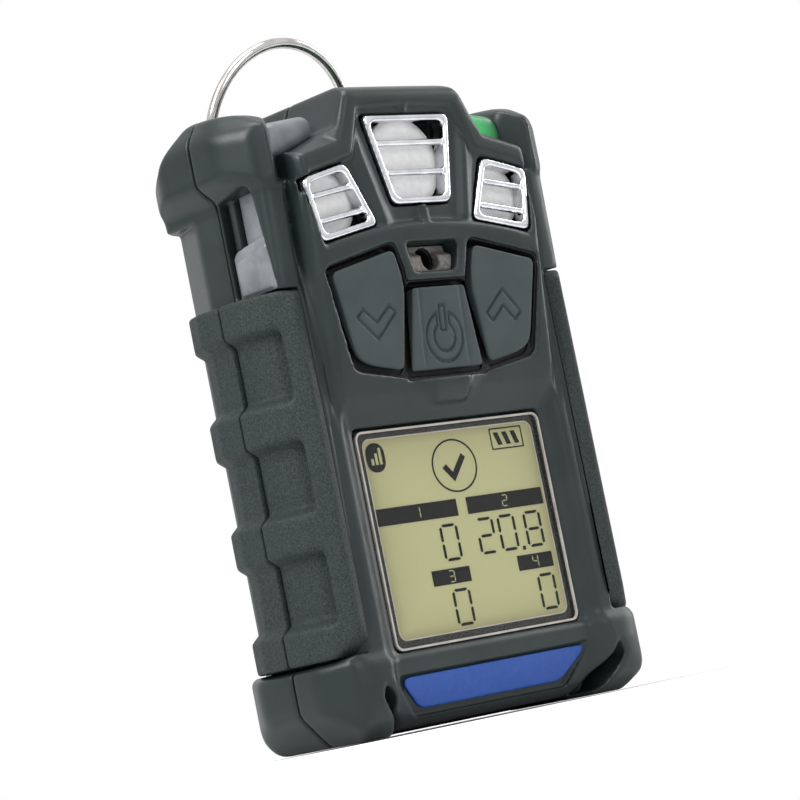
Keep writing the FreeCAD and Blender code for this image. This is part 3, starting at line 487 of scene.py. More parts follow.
liquidCrystal = liquidCrystalMaterial()
windowGlass = glassMaterial()
lensGreen = glowMaterial("lensGreen", {
    "dark": (0.010, 0.070, 0.030), "light": (0.020, 0.110, 0.045), "mottle": 260, "grain": 3400,
    "rough": (0.30, 0.46), "bump": 0.25, "depth": 0.00004, "specular": 0.6,
    "spot": (0.0215, frontY + 0.0060, 0.1037), "reach": (0.0008, 0.0060), "strength": 0.7,
    "glow": (0.02, 0.60, 0.12)})
print("materials made")


# Case.

shell = {
    "outline": [(0, 112), (13, 112), (16.5, 104.4), (27, 100), (27.8, 107), (30.5, 110), (35, 109.3),
                (38, 105), (38, 98), (34, 95), (34, 14.2), (38, 13.5), (38, 6.5), (32, 0), (23, 0),
                (22, 0.7), (0, 0.7)],
    "outlineSoft": 0.6,
    "plan": [(0, 0), (27.5, 0.0), (28, 0.8), (34.5, 4), (38, 11), (38, 40), (0, 40)],
    "planSoft": 0.8,
    "half": 38,
    "top": 112,
    "edge": 1.5,
    "split": (16.3, 16.7),
    "splitSoft": 0.35,
    "well": 6.4,
    "gripSeat": [(29.5, -3), (29.5, 4.4), (33.6, 10.4), (40, 10.4), (40, -3)],
    "gripEnds": [(-3, 16.6), (6.4, 14.1), (20, 14.1), (20, 77.3), (4.6, 77.3), (-3, 74)],
    "screenGap": 0.25,
    "screenDeep": 7.4,
    "horn": [(6.4, 83.1), (5.1, 77.9)],
    "label": [(23.0, 9.7), (23.0, 8.6), (18.6, 2.5)],
    "hollow": [(28.6, 8.8), (29.6, 6.6), (25.6, 0.9), (21.2, 0.9)],
    "hollowDeep": 13,
    "flank": [(5.1, 77.6), (15.9, 77.6), (15.9, 94.6), (7.1, 95.6)],
    "flankFloor": 30.4,
    "flankRib": [(13.4, 86), (15.0, 86), (15.0, 96), (13.4, 96)],
    "ribSpan": (30, 32.6),
}
rearShell = {
    "back": 34.0,
    "plan": [(0, 34.5), (28, 34), (34.8, 30.8), (38, 25.2), (38, -5), (0, -5)],
    "profile": [(-5, -1), (30, -1), (34, 6.5), (34, 108), (31, 113), (-5, 113)],
    "profileSoft": 1.4,
    "gripSeat": [(34, 10), (34, 22.5), (29, 33.5), (29, 50), (50, 50), (50, 10)],
    "gripMiddle": 53.6,
    "gripHalf": 39.4,
    "screwX": 25.5,
    "screwHeights": (13.0, 73.0),
    "screwHole": 2.4,
    "screwFloor": 31.5,
    "slope": [(17.1, 111.5), (26.5, 103), (36, 98.5), (36, 116), (17.1, 116)],
    "slopeX": 27.6,
    "dockTop": 3.5,
}
relief = {
    "middle": [(0.5, 12.2), (1.4, 10.2), (2.6, 8.5), (3.4, 8.1), (9.6, 5.6), (12.4, 5.2), (13.4, 6.1),
               (52.4, 6.1), (57.3, 3.5), (60, 3.0), (83, 0.5), (86, 0.05), (109.4, 0.3), (110.8, 1.2),
               (112, 3.6)],
    "rail": [(0, 7.5), (3, 4.2), (6, 3.0), (9, 2.8), (12.6, 3.2), (14.6, 4.4), (56, 4.1), (77, 4.0),
             (84, 3.7), (94.5, 3.2), (97.5, 0.9), (112, 0.8)],
    "innerEdge": [(0, 22.6), (10, 23.5), (13, 22.9), (52.4, 22.9), (56, 24.4), (60, 25.6), (84, 26.6),
                  (112, 27.0)],
    "outerEdge": [(0, 26), (10, 27.2), (13, 26.8), (52.4, 26.8), (56, 27.0), (60, 27.5), (84, 28.5),
                  (112, 28.8)],
    "rimInner": [(0, 108.1), (11.6, 107.6), (14.9, 99.4), (25.5, 96.8)],
    "rimOuter": [(0, 112.5), (13.4, 111.8), (17.3, 101.4), (27.4, 98.9), (27.4, 80)],
    "lip": (86.3, 3.3, 25.0),
    "panelDeep": 1.5,
    "rimSlope": 1.5,
    "tab": [(8.6, 59.6), (4.2, 54.5)],
    "tabFlat": [(5.0, 59.6), (3.9, 54.9)],
    "tabTop": 59.6,
    "tabHigh": 0.9,
    "groove": [(17, 29.3), (57, 28.4), (77, 28.7), (98, 28.2)],
}
# Straight ridges and grooves: x at a height, lean, half width, rise, and where they fade in and out.
creases = {
    "rib": {"x": 9.7, "at": 86.5, "lean": 0.235, "wide": 1.5, "rise": -0.9},
    "valley": {"x": 27.9, "at": 84, "lean": 0.01, "wide": 0.85, "rise": 2.6, "fades": (72, 86, 99, 104)},
    "crease": {"x": 27.0, "at": 0, "lean": 0, "wide": 0.6, "rise": 0.8, "fades": (50, 60, 76, 86)},
}
labelPlane = {"y": 6.2, "z": 9.6, "lean": 0.5, "square": 0.894}
keyShapes = {
    "side": [(9.6, 82.3), (24.7, 78.9), (21.0, 62.7), (10.2, 60.8), (7.7, 75.9)],
    "power": mirrored([(6.4, 75.4), (8.9, 60.4)]),
    "sideSoft": 1.6,
    "powerSoft": 1.0,
    "gap": 0.9,
    "wallGap": 0.15,
}
inletShapes = {
    "centre": mirrored([(10.5, 106.1), (7.0, 89.9)]),
    "right": [(16.5, 97.9), (27.1, 95.4), (25.1, 83.9), (11.4, 86.5)],
}


def along(z, pairs):
    return np.interp(z, [p[0] for p in pairs], [p[1] for p in pairs]).astype(np.float32)


def creaseHeight(x, z, name):
    look = creases[name]
    line = look["x"] + (z - look["at"]) * look["lean"]
    height = look["rise"] * np.exp(-((x - line) / look["wide"]) ** 2)
    if "fades" in look:
        first, second, third, last = look["fades"]
        height = height * fade(z, first, second) * (1 - fade(z, third, last))
    return height


def caseRelief(x, z, pitch):
    # Depth of the front face behind the foremost point, over the front view.
    share = fade(x, along(z, relief["innerEdge"]), along(z, relief["outerEdge"]))
    depth = along(z, relief["middle"]) * (1 - share) + along(z, relief["rail"]) * share
    # head: sunken panel inside a rim, sloping off outside it
    top, drop, half = relief["lip"]
    arc = [(across, top - drop * (across / half) ** 2) for across in np.linspace(half, 0.0, 8)]
    inner = polygonField(x, z, relief["rimInner"] + arc)
    depth = depth + relief["panelDeep"] * fade(-inner, -0.1, 0.9)
    outer = polygonField(x, z, mirrored(relief["rimOuter"]))
    slopeShare = fade(z, 97.5, 100.5) * (1 - fade(x, 26.8, 28.2))
    depth = depth + np.clip(outer, 0, 4) * relief["rimSlope"] * slopeShare
    # ribs between the inlets, valleys between the head and the corner post
    depth = depth + creaseHeight(x, z, "rib") * fade(-inner, 0.4, 1.4)
    depth = depth + creaseHeight(x, z, "valley") + creaseHeight(x, z, "crease")
    # raised tab that carries on the line of the power key
    tab = convexField(x, z, mirrored(relief["tab"]), 0.3)
    flat = convexField(x, z, mirrored(relief["tabFlat"]), 0.3)
    high = relief["tabHigh"]
    lift = np.maximum(np.clip(-tab / 2.6, 0, 1) * high, high * fade(-flat, -0.2, 0.3))
    depth = depth - np.where(z < relief["tabTop"], lift, 0)
    # thin groove beside the key panel
    groove = np.exp(-((x - along(z, relief["groove"])) / 0.35) ** 2)
    depth = depth + 0.45 * groove * fade(z, 16, 22) * (1 - fade(z, 90, 98))
    return blur(depth, pitch, 0.3)


def labelSlope(y, z):
    # Distance in front of or behind the sloping chin that carries the label.
    return (y - (labelPlane["y"] + (labelPlane["z"] - z) * labelPlane["lean"])) * labelPlane["square"]


def insetBox(low, high, grow):
    return [(low[0] - grow, low[2] - grow), (high[0] + grow, low[2] - grow),
            (high[0] + grow, high[2] + grow), (low[0] - grow, high[2] + grow)]


def carve(body, hollow, soft):
    return smoothMax(body, -hollow, soft)


bumper = {
    "roof": {"z": 109.9, "y": 16.5, "fall": 0.17},
    "nose": {"z": 105.6, "y": 3, "rise": 0.6, "square": 0.86},
    "corner": {"sum": 143.6, "lean": 1.1, "y": 6, "rise": 0.66, "square": 0.6},
    "slope": {"x": 31.2, "y": 2.5, "lean": 0.82, "square": 0.77},
    "capX": 27.2,
    "slopeX": 27.4,
    "slopeLow": 94.5,
    "slopeRise": 0.3,
}


def bumperCap(x, y, z):
    # Tops of the bumpers fall to the front, with a cut corner outside.
    roof, nose, corner = bumper["roof"], bumper["nose"], bumper["corner"]
    above = z - roof["z"] + roof["fall"] * (roof["y"] - y)
    ahead = (z - nose["z"] - nose["rise"] * (y - nose["y"])) * nose["square"]
    beyond = z + corner["lean"] * x - corner["sum"] - corner["rise"] * (y - corner["y"])
    top = smoothMax(above, ahead, 0.8)
    return np.minimum(smoothMax(top, beyond * corner["square"], 0.8), x - bumper["capX"])


def bumperInside(x, y, z):
    # The slope of a bumper beside the head.
    slope = bumper["slope"]
    side = (slope["x"] - slope["lean"] * (y - slope["y"]) - x) * slope["square"]
    above = z - bumper["slopeLow"] - bumper["slopeRise"] * y
    return np.minimum(np.minimum(side, x - bumper["slopeX"]), above)


def carveOpenings(body, x, y, z):
    # Window recess, keys, horn and inlets, all from the front.
    screenLow, screenHigh = nodeBox("display_window")
    window = convexField(x, z, insetBox(screenLow, screenHigh, shell["screenGap"]), 1.2)
    body = carve(body, np.maximum(window, y - shell["screenDeep"]), 0.3)
    gap = keyShapes["gap"] + keyShapes["wallGap"]
    well = y - shell["well"]
    for name in ("side", "power"):
        opening = convexField(x, z, keyShapes[name], keyShapes[name + "Soft"])
        body = carve(body, np.maximum(opening - gap, well), 0.25)
    body = carve(body, np.maximum(convexField(x, z, mirrored(shell["horn"]), 1.2), well), 0.3)
    for points in inletShapes.values():
        body = carve(body, np.maximum(convexField(x, z, points, 1.2) - 0.15, well), 0.3)
    return body


def makeCaseFront(pitch):
    splitY = shell["split"][0]
    block = Block((-shell["half"], 0, 0), (shell["half"], splitY, shell["top"]), pitch)
    x, y, z = np.abs(block.x), block.y, block.z
    outline = frontField(x, z, mirrored(shell["outline"]), pitch, shell["outlineSoft"])
    plan = planField(x, y, mirrored(shell["plan"]), pitch, shell["planSoft"])
    body = smoothMax(outline, plan, shell["edge"])
    depth = caseRelief(x[:, 0, :], z[0], pitch)[:, None, :]
    body = smoothMax(body, depth - y, 1.4)
    body = smoothMax(body, bumperCap(x, y, z), 1.0)
    body = smoothMax(body, bumperInside(x, y, z), 0.8)
    seat = convexField(x, y, shell["gripSeat"], 0.3)
    ends = convexField(y, z, shell["gripEnds"], 0.3)
    body = carve(body, np.maximum(seat, ends), 0.3)
    body = carveOpenings(body, x, y, z)
    # label recess and the hollows beside it
    label = convexField(x, z, mirrored(shell["label"]), 0.8)
    body = carve(body, np.maximum(label, labelSlope(y, z)), 0.4)
    hollow = convexField(x, z, shell["hollow"], 0.8)
    body = carve(body, np.maximum(hollow, y - shell["hollowDeep"]), 0.8)
    # flank window under the bumper, with a rib
    pocket = convexField(y, z, shell["flank"], 0.5)
    body = carve(body, np.maximum(pocket, shell["flankFloor"] - x), 0.4)
    ribIn, ribOut = shell["ribSpan"]
    rib = np.maximum(convexField(y, z, shell["flankRib"], 0.2), x - ribOut)
    body = smoothMin(body, np.maximum(rib, ribIn - x), 0.3)
    body = smoothMax(body, y - splitY, shell["splitSoft"])
    piece = block.surface("case_front", body, 0.5)
    return finishPiece(piece, caseRubber, replaces=("front_case",))


def makeCaseRear(pitch):
    splitY = shell["split"][1]
    block = Block((-shell["half"], splitY, 0), (shell["half"], rearShell["back"], shell["top"]), pitch)
    x, y, z = np.abs(block.x), block.y, block.z
    outline = frontField(x, z, mirrored(shell["outline"]), pitch, shell["outlineSoft"])
    plan = planField(x, y, mirrored(rearShell["plan"]), pitch, shell["planSoft"])
    body = smoothMax(outline, plan, shell["edge"])
    profile = convexField(y, z, rearShell["profile"], 1.0)
    body = smoothMax(body, profile, rearShell["profileSoft"])
    seat = planField(x, y, rearShell["gripSeat"], pitch, 0.3)
    ends = np.abs(z - rearShell["gripMiddle"]) - rearShell["gripHalf"]
    body = carve(body, np.maximum(seat, ends), 0.8)
    for height in rearShell["screwHeights"]:
        hole = np.sqrt((x - rearShell["screwX"]) ** 2 + (z - height) ** 2) - rearShell["screwHole"]
        body = carve(body, np.maximum(hole, rearShell["screwFloor"] - y), 0.3)
    slope = polygonField(y[0, :, 0][:, None], z[0], rearShell["slope"])[None]
    body = carve(body, np.maximum(slope, rearShell["slopeX"] - x), 1.0)
    dockLow, dockHigh = nodeBox("charging_block")
    middle, half = (dockLow[1] + dockHigh[1]) / 2, (dockHigh[1] - dockLow[1]) / 2
    dock = np.maximum(np.maximum(x - dockHigh[0], z - rearShell["dockTop"]), np.abs(y - middle) - half)
    body = carve(body, dock, 0.2)
    body = smoothMax(body, splitY - y, shell["splitSoft"])
    piece = block.surface("case_rear", body, 0.45)
    return finishPiece(piece, caseRubber, replaces=("rear_case",))


# Grips.

grip = {
    "front": [(30.2, 3.6), (32.2, 3.1), (36.3, 7.2), (38, 12.2), (38, 20), (27, 20), (27, 8)],
    "rear": [(27, 13), (38, 13), (38, 22.3), (36.6, 26.2), (33.2, 30.2), (31.0, 30.0), (27, 26)],
    "valleys": (26.5, 45.5, 64.5),
    "reach": (4.7, 6.9),
    "deep": 2.3,
    "frontFade": (5.4, 6.6),
    "rearShare": 0.72,
    "bevel": 3.2,
    "bevelTop": 0.9,
    "bevelLow": 2.6,
    "soft": 0.6,
}


def makeGrip(name, half, side, pitch):
    low, high = nodeBox(name)
    block = Block(low, high, pitch)
    x, y, z = block.x * side, block.y, block.z
    plan = planField(x, y, grip[half], pitch, 0.4)
    dip = np.zeros((1, 1, z.shape[2]), np.float32)
    for middle in grip["valleys"]:
        dip = np.maximum(dip, 1 - fade(np.abs(z - middle), *grip["reach"]))
    if half == "front":
        share = fade(y, *grip["frontFade"])
        edge = y - shell["split"][0]
        ends = convexField(y, z, [(-3, low[2]), (-3, high[2]), (20, high[2]), (20, low[2])], 0.4)
        ends = smoothMax(ends, (grip["bevel"] - y - high[2] + z) * 0.7 + grip["bevelTop"], 0.4)
        ends = smoothMax(ends, (grip["bevel"] - y - z + low[2]) * 0.7 + grip["bevelLow"], 0.4)
    else:
        share = grip["rearShare"]
        edge = shell["split"][1] - y
        ends = np.maximum(z - high[2], low[2] - z)
    body = smoothMax(plan + grip["deep"] * dip * share, edge, 0.4)
    body = smoothMax(body, ends, grip["soft"])
    piece = block.surface(name + "_pad", body, 0.6)
    return finishPiece(piece, gripRubber, replaces=(name,))


pitch = 0.42
makeCaseFront(pitch)
makeCaseRear(pitch)
print("case made")
for side, word in ((-1, "left"), (1, "right")):
    for half in ("front", "rear"):
        makeGrip("grip_%s_%s" % (word, half), half, side, pitch * 0.9)
print("grips made")


# Keys.

icons = {
    "down": [(-20.0, 70.8), (-18.5, 72.1), (-15.6, 69.7), (-12.4, 72.4), (-11.0, 71.2), (-15.7, 66.9)],
    "up": [(15.4, 73.8), (19.4, 69.5), (17.8, 68.2), (15.2, 70.9), (12.3, 68.3), (10.9, 69.8)],
    "bar": [(-0.7, 71.8), (0.7, 71.7), (0.5, 67.4), (-0.7, 67.4)],
    "ringZ": 66.3,
    "ringOuter": 4.3,
    "ringInner": 2.5,
    "notch": 1.5,
    "line": 0.17,
    "deep": 0.45,
}
key = {
    "slope": [(60.4, 3.0), (82.3, 0.5)],
    "shrink": 0.3,
    "back": 3.55,
    "cutCorner": (21.0, 62.7),
    "cutFace": (0.62, -0.785),
    "powerLow": 60.3,
    "foldX": 4.9,
    "foldHigh": 0.16,
}


def cutSide(x, z):
    # The lower outer corner of a side key, cut off at a slant.
    across, up = key["cutFace"]
    cornerX, cornerZ = key["cutCorner"]
    return across * (x - cornerX) + up * (z - cornerZ) + 1.0


def powerIcon(x, z):
    # Distance to the lines of an open ring with a bar in its gap.
    away = np.sqrt(x ** 2 + ((z - icons["ringZ"]) * 0.98) ** 2)
    ring = np.maximum(away - icons["ringOuter"], icons["ringInner"] - away)
    slot = np.maximum(np.abs(x) - icons["notch"], icons["ringZ"] - z)
    ring = np.maximum(ring, -slot)
    return np.minimum(np.abs(ring), np.abs(polygonField(x, z, icons["bar"])))


def makeKey(word, points, soft, pitch):
    low, high = nodeBox("key_" + word)
    block = Block(low, (high[0], 3.6, high[2]), pitch)
    x, z = block.x[:, 0, :], block.z[0]
    outward = x * (-1 if word == "down" else 1)
    outline = convexField(outward, z, points, soft) + key["shrink"]
    face = along(z, key["slope"])
    if word == "power":
        outline = smoothMax(outline, key["powerLow"] + 0.006 * x ** 2 - z, 0.3)
        fold = np.exp(-((np.abs(x) - key["foldX"] - (75 - z) * 0.03) / 0.35) ** 2)
        face = face + key["foldHigh"] * fold * fade(z, 59, 64)
        lines = powerIcon(x, z)
    else:
        outline = smoothMax(outline, cutSide(outward, z), 1.6)
        lines = np.abs(polygonField(x, z, icons[word]))
    groove = 1 - fade(lines, icons["line"], icons["line"] + 0.16)
    face = (face + icons["deep"] * groove)[:, None, :]
    body = smoothMax(outline[:, None, :], face - block.y, 0.35)
    body = np.maximum(body, block.y - key["back"])
    piece = block.surface("key_face_" + word, body, 0.5)
    return finishPiece(piece, keyRubber, word + "_key", ("key_" + word,))


liner = {"low": (-26.5, 0, 58.5), "high": (26.5, 5, 84), "wall": 0.2, "under": 0.7, "floor": 4.0, "back": 4.7}


def makeKeypadLiner(pitch):
    # Black edge of the mat that fills the gaps round the keys.
    block = Block(liner["low"], liner["high"], pitch)
    x, y, z = np.abs(block.x), block.y, block.z
    gap = keyShapes["gap"] + keyShapes["wallGap"]
    side = convexField(x, z, keyShapes["side"], keyShapes["sideSoft"])
    power = convexField(x, z, keyShapes["power"], keyShapes["powerSoft"])
    around = np.minimum(side, power) - gap
    wall = np.abs(around + 0.02) - liner["wall"]
    middle = np.maximum(around, 0.3 - np.minimum(side, power))
    wallBody = np.maximum(wall, along(z, key["slope"]) + liner["under"] - y)
    body = np.minimum(wallBody, np.maximum(middle, liner["floor"] - y))
    body = np.maximum(body, y - liner["back"])
    piece = block.surface("keypad_liner", body, 0.5)
    return finishPiece(piece, blackRubber)


keyPitch = 0.2
makeKeypadLiner(0.3)
for word, shape, soft in (("down", "side", 1.3), ("up", "side", 1.3), ("power", "power", 0.7)):
    makeKey(word, keyShapes[shape], soft, keyPitch)
print("keys made")


# Gas inlets and horn.

inlet = {
    "front": 0.9, "back": 4.4, "rim": 1.25, "soft": 1.6, "bars": 2, "barHalf": 0.62, "barFront": 1.3,
    "barDeep": 1.5, "wallLean": 0.12,
    "centre": {"lean": 0.0, "lift": 0.4, "middle": 0},
    "right": {"lean": -0.16, "lift": -0.2, "middle": 20},
}


def makeInlet(word, side, pitch):
    low, high = nodeBox("inlet_" + word)
    kind = "centre" if word == "centre" else "right"
    block = Block(low, high, pitch)
    x, y, z = block.x * side, block.y, block.z
    outer = convexField(x, z, inletShapes[kind], inlet["soft"]) + 0.05
    # the rim is rounded at its front and its inside walls lean in a little
    rim = np.maximum(outer, (y - 1.0) * inlet["wallLean"] - outer - inlet["rim"])
    body = smoothMax(rim, inlet["front"] - y, 0.5)
    body = np.maximum(body, y - inlet["back"])
    depth = (y - inlet["barFront"] - inlet["barDeep"] / 2) / (inlet["barDeep"] / 2)
    for step in range(1, inlet["bars"] + 1):
        height = low[2] + (high[2] - low[2]) * step / (inlet["bars"] + 1) + inlet[kind]["lift"]
        line = z - height - inlet[kind]["lean"] * (x - inlet[kind]["middle"])
        bar = (np.sqrt((line / inlet["barHalf"]) ** 2 + depth ** 2) - 1) * inlet["barHalf"]
        body = smoothMin(body, np.maximum(bar, outer + 0.3), 0.25)
    piece = block.surface("bezel_" + word, body, 0.5)
    return finishPiece(piece, chromeTrim, replaces=("inlet_" + word,))


membrane = {
    "rings": [(0.0, -0.30), (0.45, -0.26), (0.70, -0.14), (0.74, -0.30), (0.80, -0.34), (0.86, -0.16),
              (1.0, 0.0), (1.0, 1.4)],
    "around": 48,
    "share": 0.93,
    "forward": 0.56,
}


def makeFilter(word):
    # Domed white membrane held by a low ring.
    low, high = nodeBox("filter_" + word)
    centreX, centreZ = (low[0] + high[0]) / 2, (low[2] + high[2]) / 2
    radius = (high[0] - low[0]) / 2 * membrane["share"]
    rings, around = membrane["rings"], membrane["around"]
    vertices, faces = [], []
    for share, rise in rings:
        depth = frontY + (low[1] - membrane["forward"] + rise) * mm
        for step in range(around):
            angle = 2 * math.pi * step / around
            vertices.append(((centreX + radius * share * math.cos(angle)) * mm, depth,
                             (centreZ + radius * share * math.sin(angle)) * mm))
    for ring in range(len(rings) - 1):
        for step in range(around):
            a, b = ring * around + step, ring * around + (step + 1) % around
            faces.append((a, b, b + around, a + around))
    faces.append(tuple(range((len(rings) - 1) * around, len(rings) * around)))
    piece = newMesh("membrane_" + word, vertices, faces)
    tidyNormals(piece)
    return finishPiece(piece, filterWhite, replaces=("filter_" + word,))


def tidyNormals(piece):
    work = bmesh.new()
    work.from_mesh(piece.data)
    bmesh.ops.remove_doubles(work, verts=work.verts, dist=1e-7)
    bmesh.ops.recalc_face_normals(work, faces=work.faces)
    work.to_mesh(piece.data)
    work.free()


horn = {
    "outline": [(6.2, 83.0), (4.9, 77.8)], "hole": (0.4, 80.3), "holeRadius": 2.1,
    "face": 2.35, "step": 1.9, "stepFade": (80.6, 81.8), "back": 4.45,
}


def makeHorn(pitch):
    # The cover falls back from its lower edge to a deep upper shelf.
    block = Block(*nodeBox("horn_cover"), pitch)
    x, y, z = block.x, block.y, block.z
    outline = convexField(x, z, mirrored(horn["outline"]), 1.0)
    holeX, holeZ = horn["hole"]
    hole = np.sqrt((x - holeX) ** 2 + (z - holeZ) ** 2) - horn["holeRadius"]
    cone = hole - np.clip(2.7 - y, 0, 0.3)
    face = horn["face"] + horn["step"] * fade(z, *horn["stepFade"])
    body = smoothMax(np.maximum(outline, -cone), face - y, 0.3)
    body = np.maximum(body, y - horn["back"])
    piece = block.surface("horn_grid", body, 0.6)
    return finishPiece(piece, hornPlastic, replaces=("horn_cover",))


for word, side in (("left", -1), ("centre", 1), ("right", 1)):
    makeInlet(word, side, 0.28)
    makeFilter(word)
makeHorn(0.22)
print("inlets and horn made")


# Display.

display = {
    "half": 22.3, "low": 13.7, "top": 51.7, "frameY": 5.95, "frameWide": 0.38, "frameDeep": 0.36,
    "glassY": 6.30, "glassDeep": 0.2, "bezelDeep": 0.6, "sheetY": 6.62, "sheetDeep": 0.3, "inkY": 6.56,
    "inkDeep": 0.05, "round": 1.6, "innerRound": 1.5, "litHalf": 20.4, "litLow": 15.5, "litTop": 50.2,
}


def roundedLoop(left, right, low, high, radius, steps=6):
    loop = []
    for cx, cz, start in ((right - radius, high - radius, 0), (left + radius, high - radius, 90),
                          (left + radius, low + radius, 180), (right - radius, low + radius, 270)):
        for step in range(steps + 1):
            angle = math.radians(start + 90 * step / steps)
            loop.append((cx + radius * math.cos(angle), cz + radius * math.sin(angle)))
    return loop


def slabPiece(name, loops, front, thick):
    # Flat plates from closed outlines (x, z), facing the front, as one mesh.
    vertices, faces = [], []
    for loop in loops:
        base, count = len(vertices), len(loop)
        for depth in (front, front + thick):
            vertices += [(x * mm, frontY + depth * mm, z * mm) for x, z in loop]
        faces.append(tuple(base + i for i in range(count)))
        faces.append(tuple(base + count + i for i in reversed(range(count))))
        for i in range(count):
            j = (i + 1) % count
            faces.append((base + j, base + i, base + count + i, base + count + j))
    piece = newMesh(name, vertices, faces, False)
    tidyNormals(piece)
    return piece


def bandPiece(name, outer, inner, front, thick):
    # A flat ring between two outlines with the same number of points.
    count = len(outer)
    vertices = []
    for depth in (front, front + thick):
        for loop in (outer, inner):
            vertices += [(x * mm, frontY + depth * mm, z * mm) for x, z in loop]
    faces = []
    for i in range(count):
        j = (i + 1) % count
        for a, b in ((0, 1), (1, 3), (3, 2), (2, 0)):
            faces.append((a * count + i, a * count + j, b * count + j, b * count + i))
    piece = newMesh(name, vertices, faces, False)
    tidyNormals(piece)
    return piece


def oval(centre, wide, high, count=48):
    angles = [2 * math.pi * step / count for step in range(count)]
    return [(centre[0] + wide * math.cos(a), centre[1] + high * math.sin(a)) for a in angles]


segmentShapes = {
    "a": [(-0.72, 0.92), (-0.60, 1.0), (0.60, 1.0), (0.72, 0.92), (0.5, 0.84), (-0.5, 0.84)],
    "g": [(-0.62, 0.0), (-0.5, 0.08), (0.5, 0.08), (0.62, 0.0), (0.5, -0.08), (-0.5, -0.08)],
    "b": [(0.80, 0.86), (1.0, 0.80), (1.0, 0.10), (0.86, 0.05), (0.74, 0.14), (0.74, 0.78)],
}
segmentCopies = (("d", "a", 1, -1), ("c", "b", 1, -1), ("f", "b", -1, 1), ("e", "b", -1, -1))
for other, source, turnU, turnV in segmentCopies:
    segmentShapes[other] = [(u * turnU, v * turnV) for u, v in segmentShapes[source]]
digitSegments = {"0": "abcdef", "1": "bc", "2": "abged", "3": "abgcd", "4": "fgbc", "8": "abcdefg"}


def digitLoops(digit, place, size):
    return [[(place[0] + u * size[0], place[1] + v * size[1]) for u, v in segmentShapes[name]]
            for name in digitSegments[digit]]


def box(left, right, low, high):
    return [(left, high), (right, high), (right, low), (left, low)]


def inset(grow, radius):
    # The outline of the window, drawn in by a distance.
    half = display["half"] - grow
    return roundedLoop(-half, half, display["low"] + grow, display["top"] - grow, radius)


def litLoop(grow, radius):
    half = display["litHalf"] + grow
    return roundedLoop(-half, half, display["litLow"] - grow, display["litTop"] + grow, radius)


def makeDisplay():
    look, wide, corner = display, display["frameWide"], display["innerRound"]
    rim = bandPiece("display_trim", inset(0, look["round"]), inset(wide, look["round"] - wide),
                    look["frameY"], look["frameDeep"])
    finishPiece(rim, frameEdge, replaces=("display_frame",))
    glass = slabPiece("display_glass", [inset(0.1, corner)], look["glassY"], look["glassDeep"])
    finishPiece(glass, windowGlass, replaces=("display_window",))
    bezel = slabPiece("display_bezel", [inset(0.05, corner)], look["sheetY"] + 0.04, look["bezelDeep"])
    finishPiece(bezel, bezelBlack)
    lit = slabPiece("display_sheet", [litLoop(0, corner)], look["sheetY"], look["sheetDeep"])
    finishPiece(lit, liquidCrystal, replaces=("display_panel",))
    line = bandPiece("display_line", litLoop(0.2, corner + 0.2), litLoop(0, corner),
                     look["sheetY"] - 0.03, 0.2)
    finishPiece(line, frameEdge)


ink = {
    "bars": [(-20.4, -1.3, 35.2, 38.2), (1.1, 19.9, 35.2, 38.2), (-10.4, -1.3, 23.6, 26.3),
             (10.6, 19.3, 23.9, 26.6)],
    "badge": (-20.1, -15.8, 44.5, 49.6, 1.9),
    "size": (2.15, 3.25),
    "values": [("0", (-4.4, 30.8)), ("0", (-4.4, 19.4)), ("0", (16.7, 19.6)), ("2", (4.4, 31.0)),
               ("0", (9.7, 31.0)), ("8", (16.2, 31.0))],
    "point": (12.6, 13.3, 27.5, 28.2),
    "tick": [(-2.9, 43.8), (-1.9, 44.4), (-0.6, 42.9), (2.1, 46.0), (3.0, 45.3), (-0.5, 41.2)],
    "tickRing": ((0.1, 44.0), 5.4, 4.75, 0.32),
    "cells": (10.9, 13.0, 15.1),
    "cell": [(0, 48.9), (1.1, 48.9), (1.9, 46.6), (0.8, 46.6)],
    "battery": (10.0, 18.0, 45.8, 49.7),
    "batteryLine": 0.25,
    "smallSize": (0.72, 1.05),
    "channels": [("1", (-10.9, 36.7)), ("2", (10.4, 36.7)), ("3", (-5.8, 24.95)), ("4", (15.0, 25.25))],
    "signal": {"left": -19.1, "pitch": 0.95, "wide": 0.6, "low": 45.8, "first": 1.1, "rise": 0.9},
}


def makeInk():
    front, deep = display["inkY"], display["inkDeep"]
    loops = [box(*bar) for bar in ink["bars"]] + [roundedLoop(*ink["badge"])]
    for digit, place in ink["values"]:
        loops += digitLoops(digit, place, ink["size"])
    loops += [box(*ink["point"]), ink["tick"]]
    loops += [[(left + x, z) for x, z in ink["cell"]] for left in ink["cells"]]
    finishPiece(slabPiece("display_ink", loops, front, deep), inkBlack)
    centre, wide, high, line = ink["tickRing"]
    ring = bandPiece("display_tick_ring", oval(centre, wide, high), oval(centre, wide - line, high - line),
                     front, deep)
    finishPiece(ring, inkBlack)
    left, right, low, high = ink["battery"]
    line = ink["batteryLine"]
    battery = bandPiece("display_battery", roundedLoop(left, right, low, high, 0.2),
                        roundedLoop(left + line, right - line, low + line, high - line, 0.15), front, deep)
    finishPiece(battery, inkBlack)
    # channel numbers in the bars and the bars of the signal badge
    numbers = []
    for digit, place in ink["channels"]:
        numbers += digitLoops(digit, place, ink["smallSize"])
    signal = ink["signal"]
    for step in range(3):
        left = signal["left"] + step * signal["pitch"]
        high = signal["low"] + signal["first"] + step * signal["rise"]
        numbers.append(box(left, left + signal["wide"], signal["low"], high))
    piece = slabPiece("display_numbers", numbers, front - 0.03, 0.03)
    finishPiece(piece, liquidCrystal)


makeDisplay()
makeInk()
print("display made")


# Label and lenses.

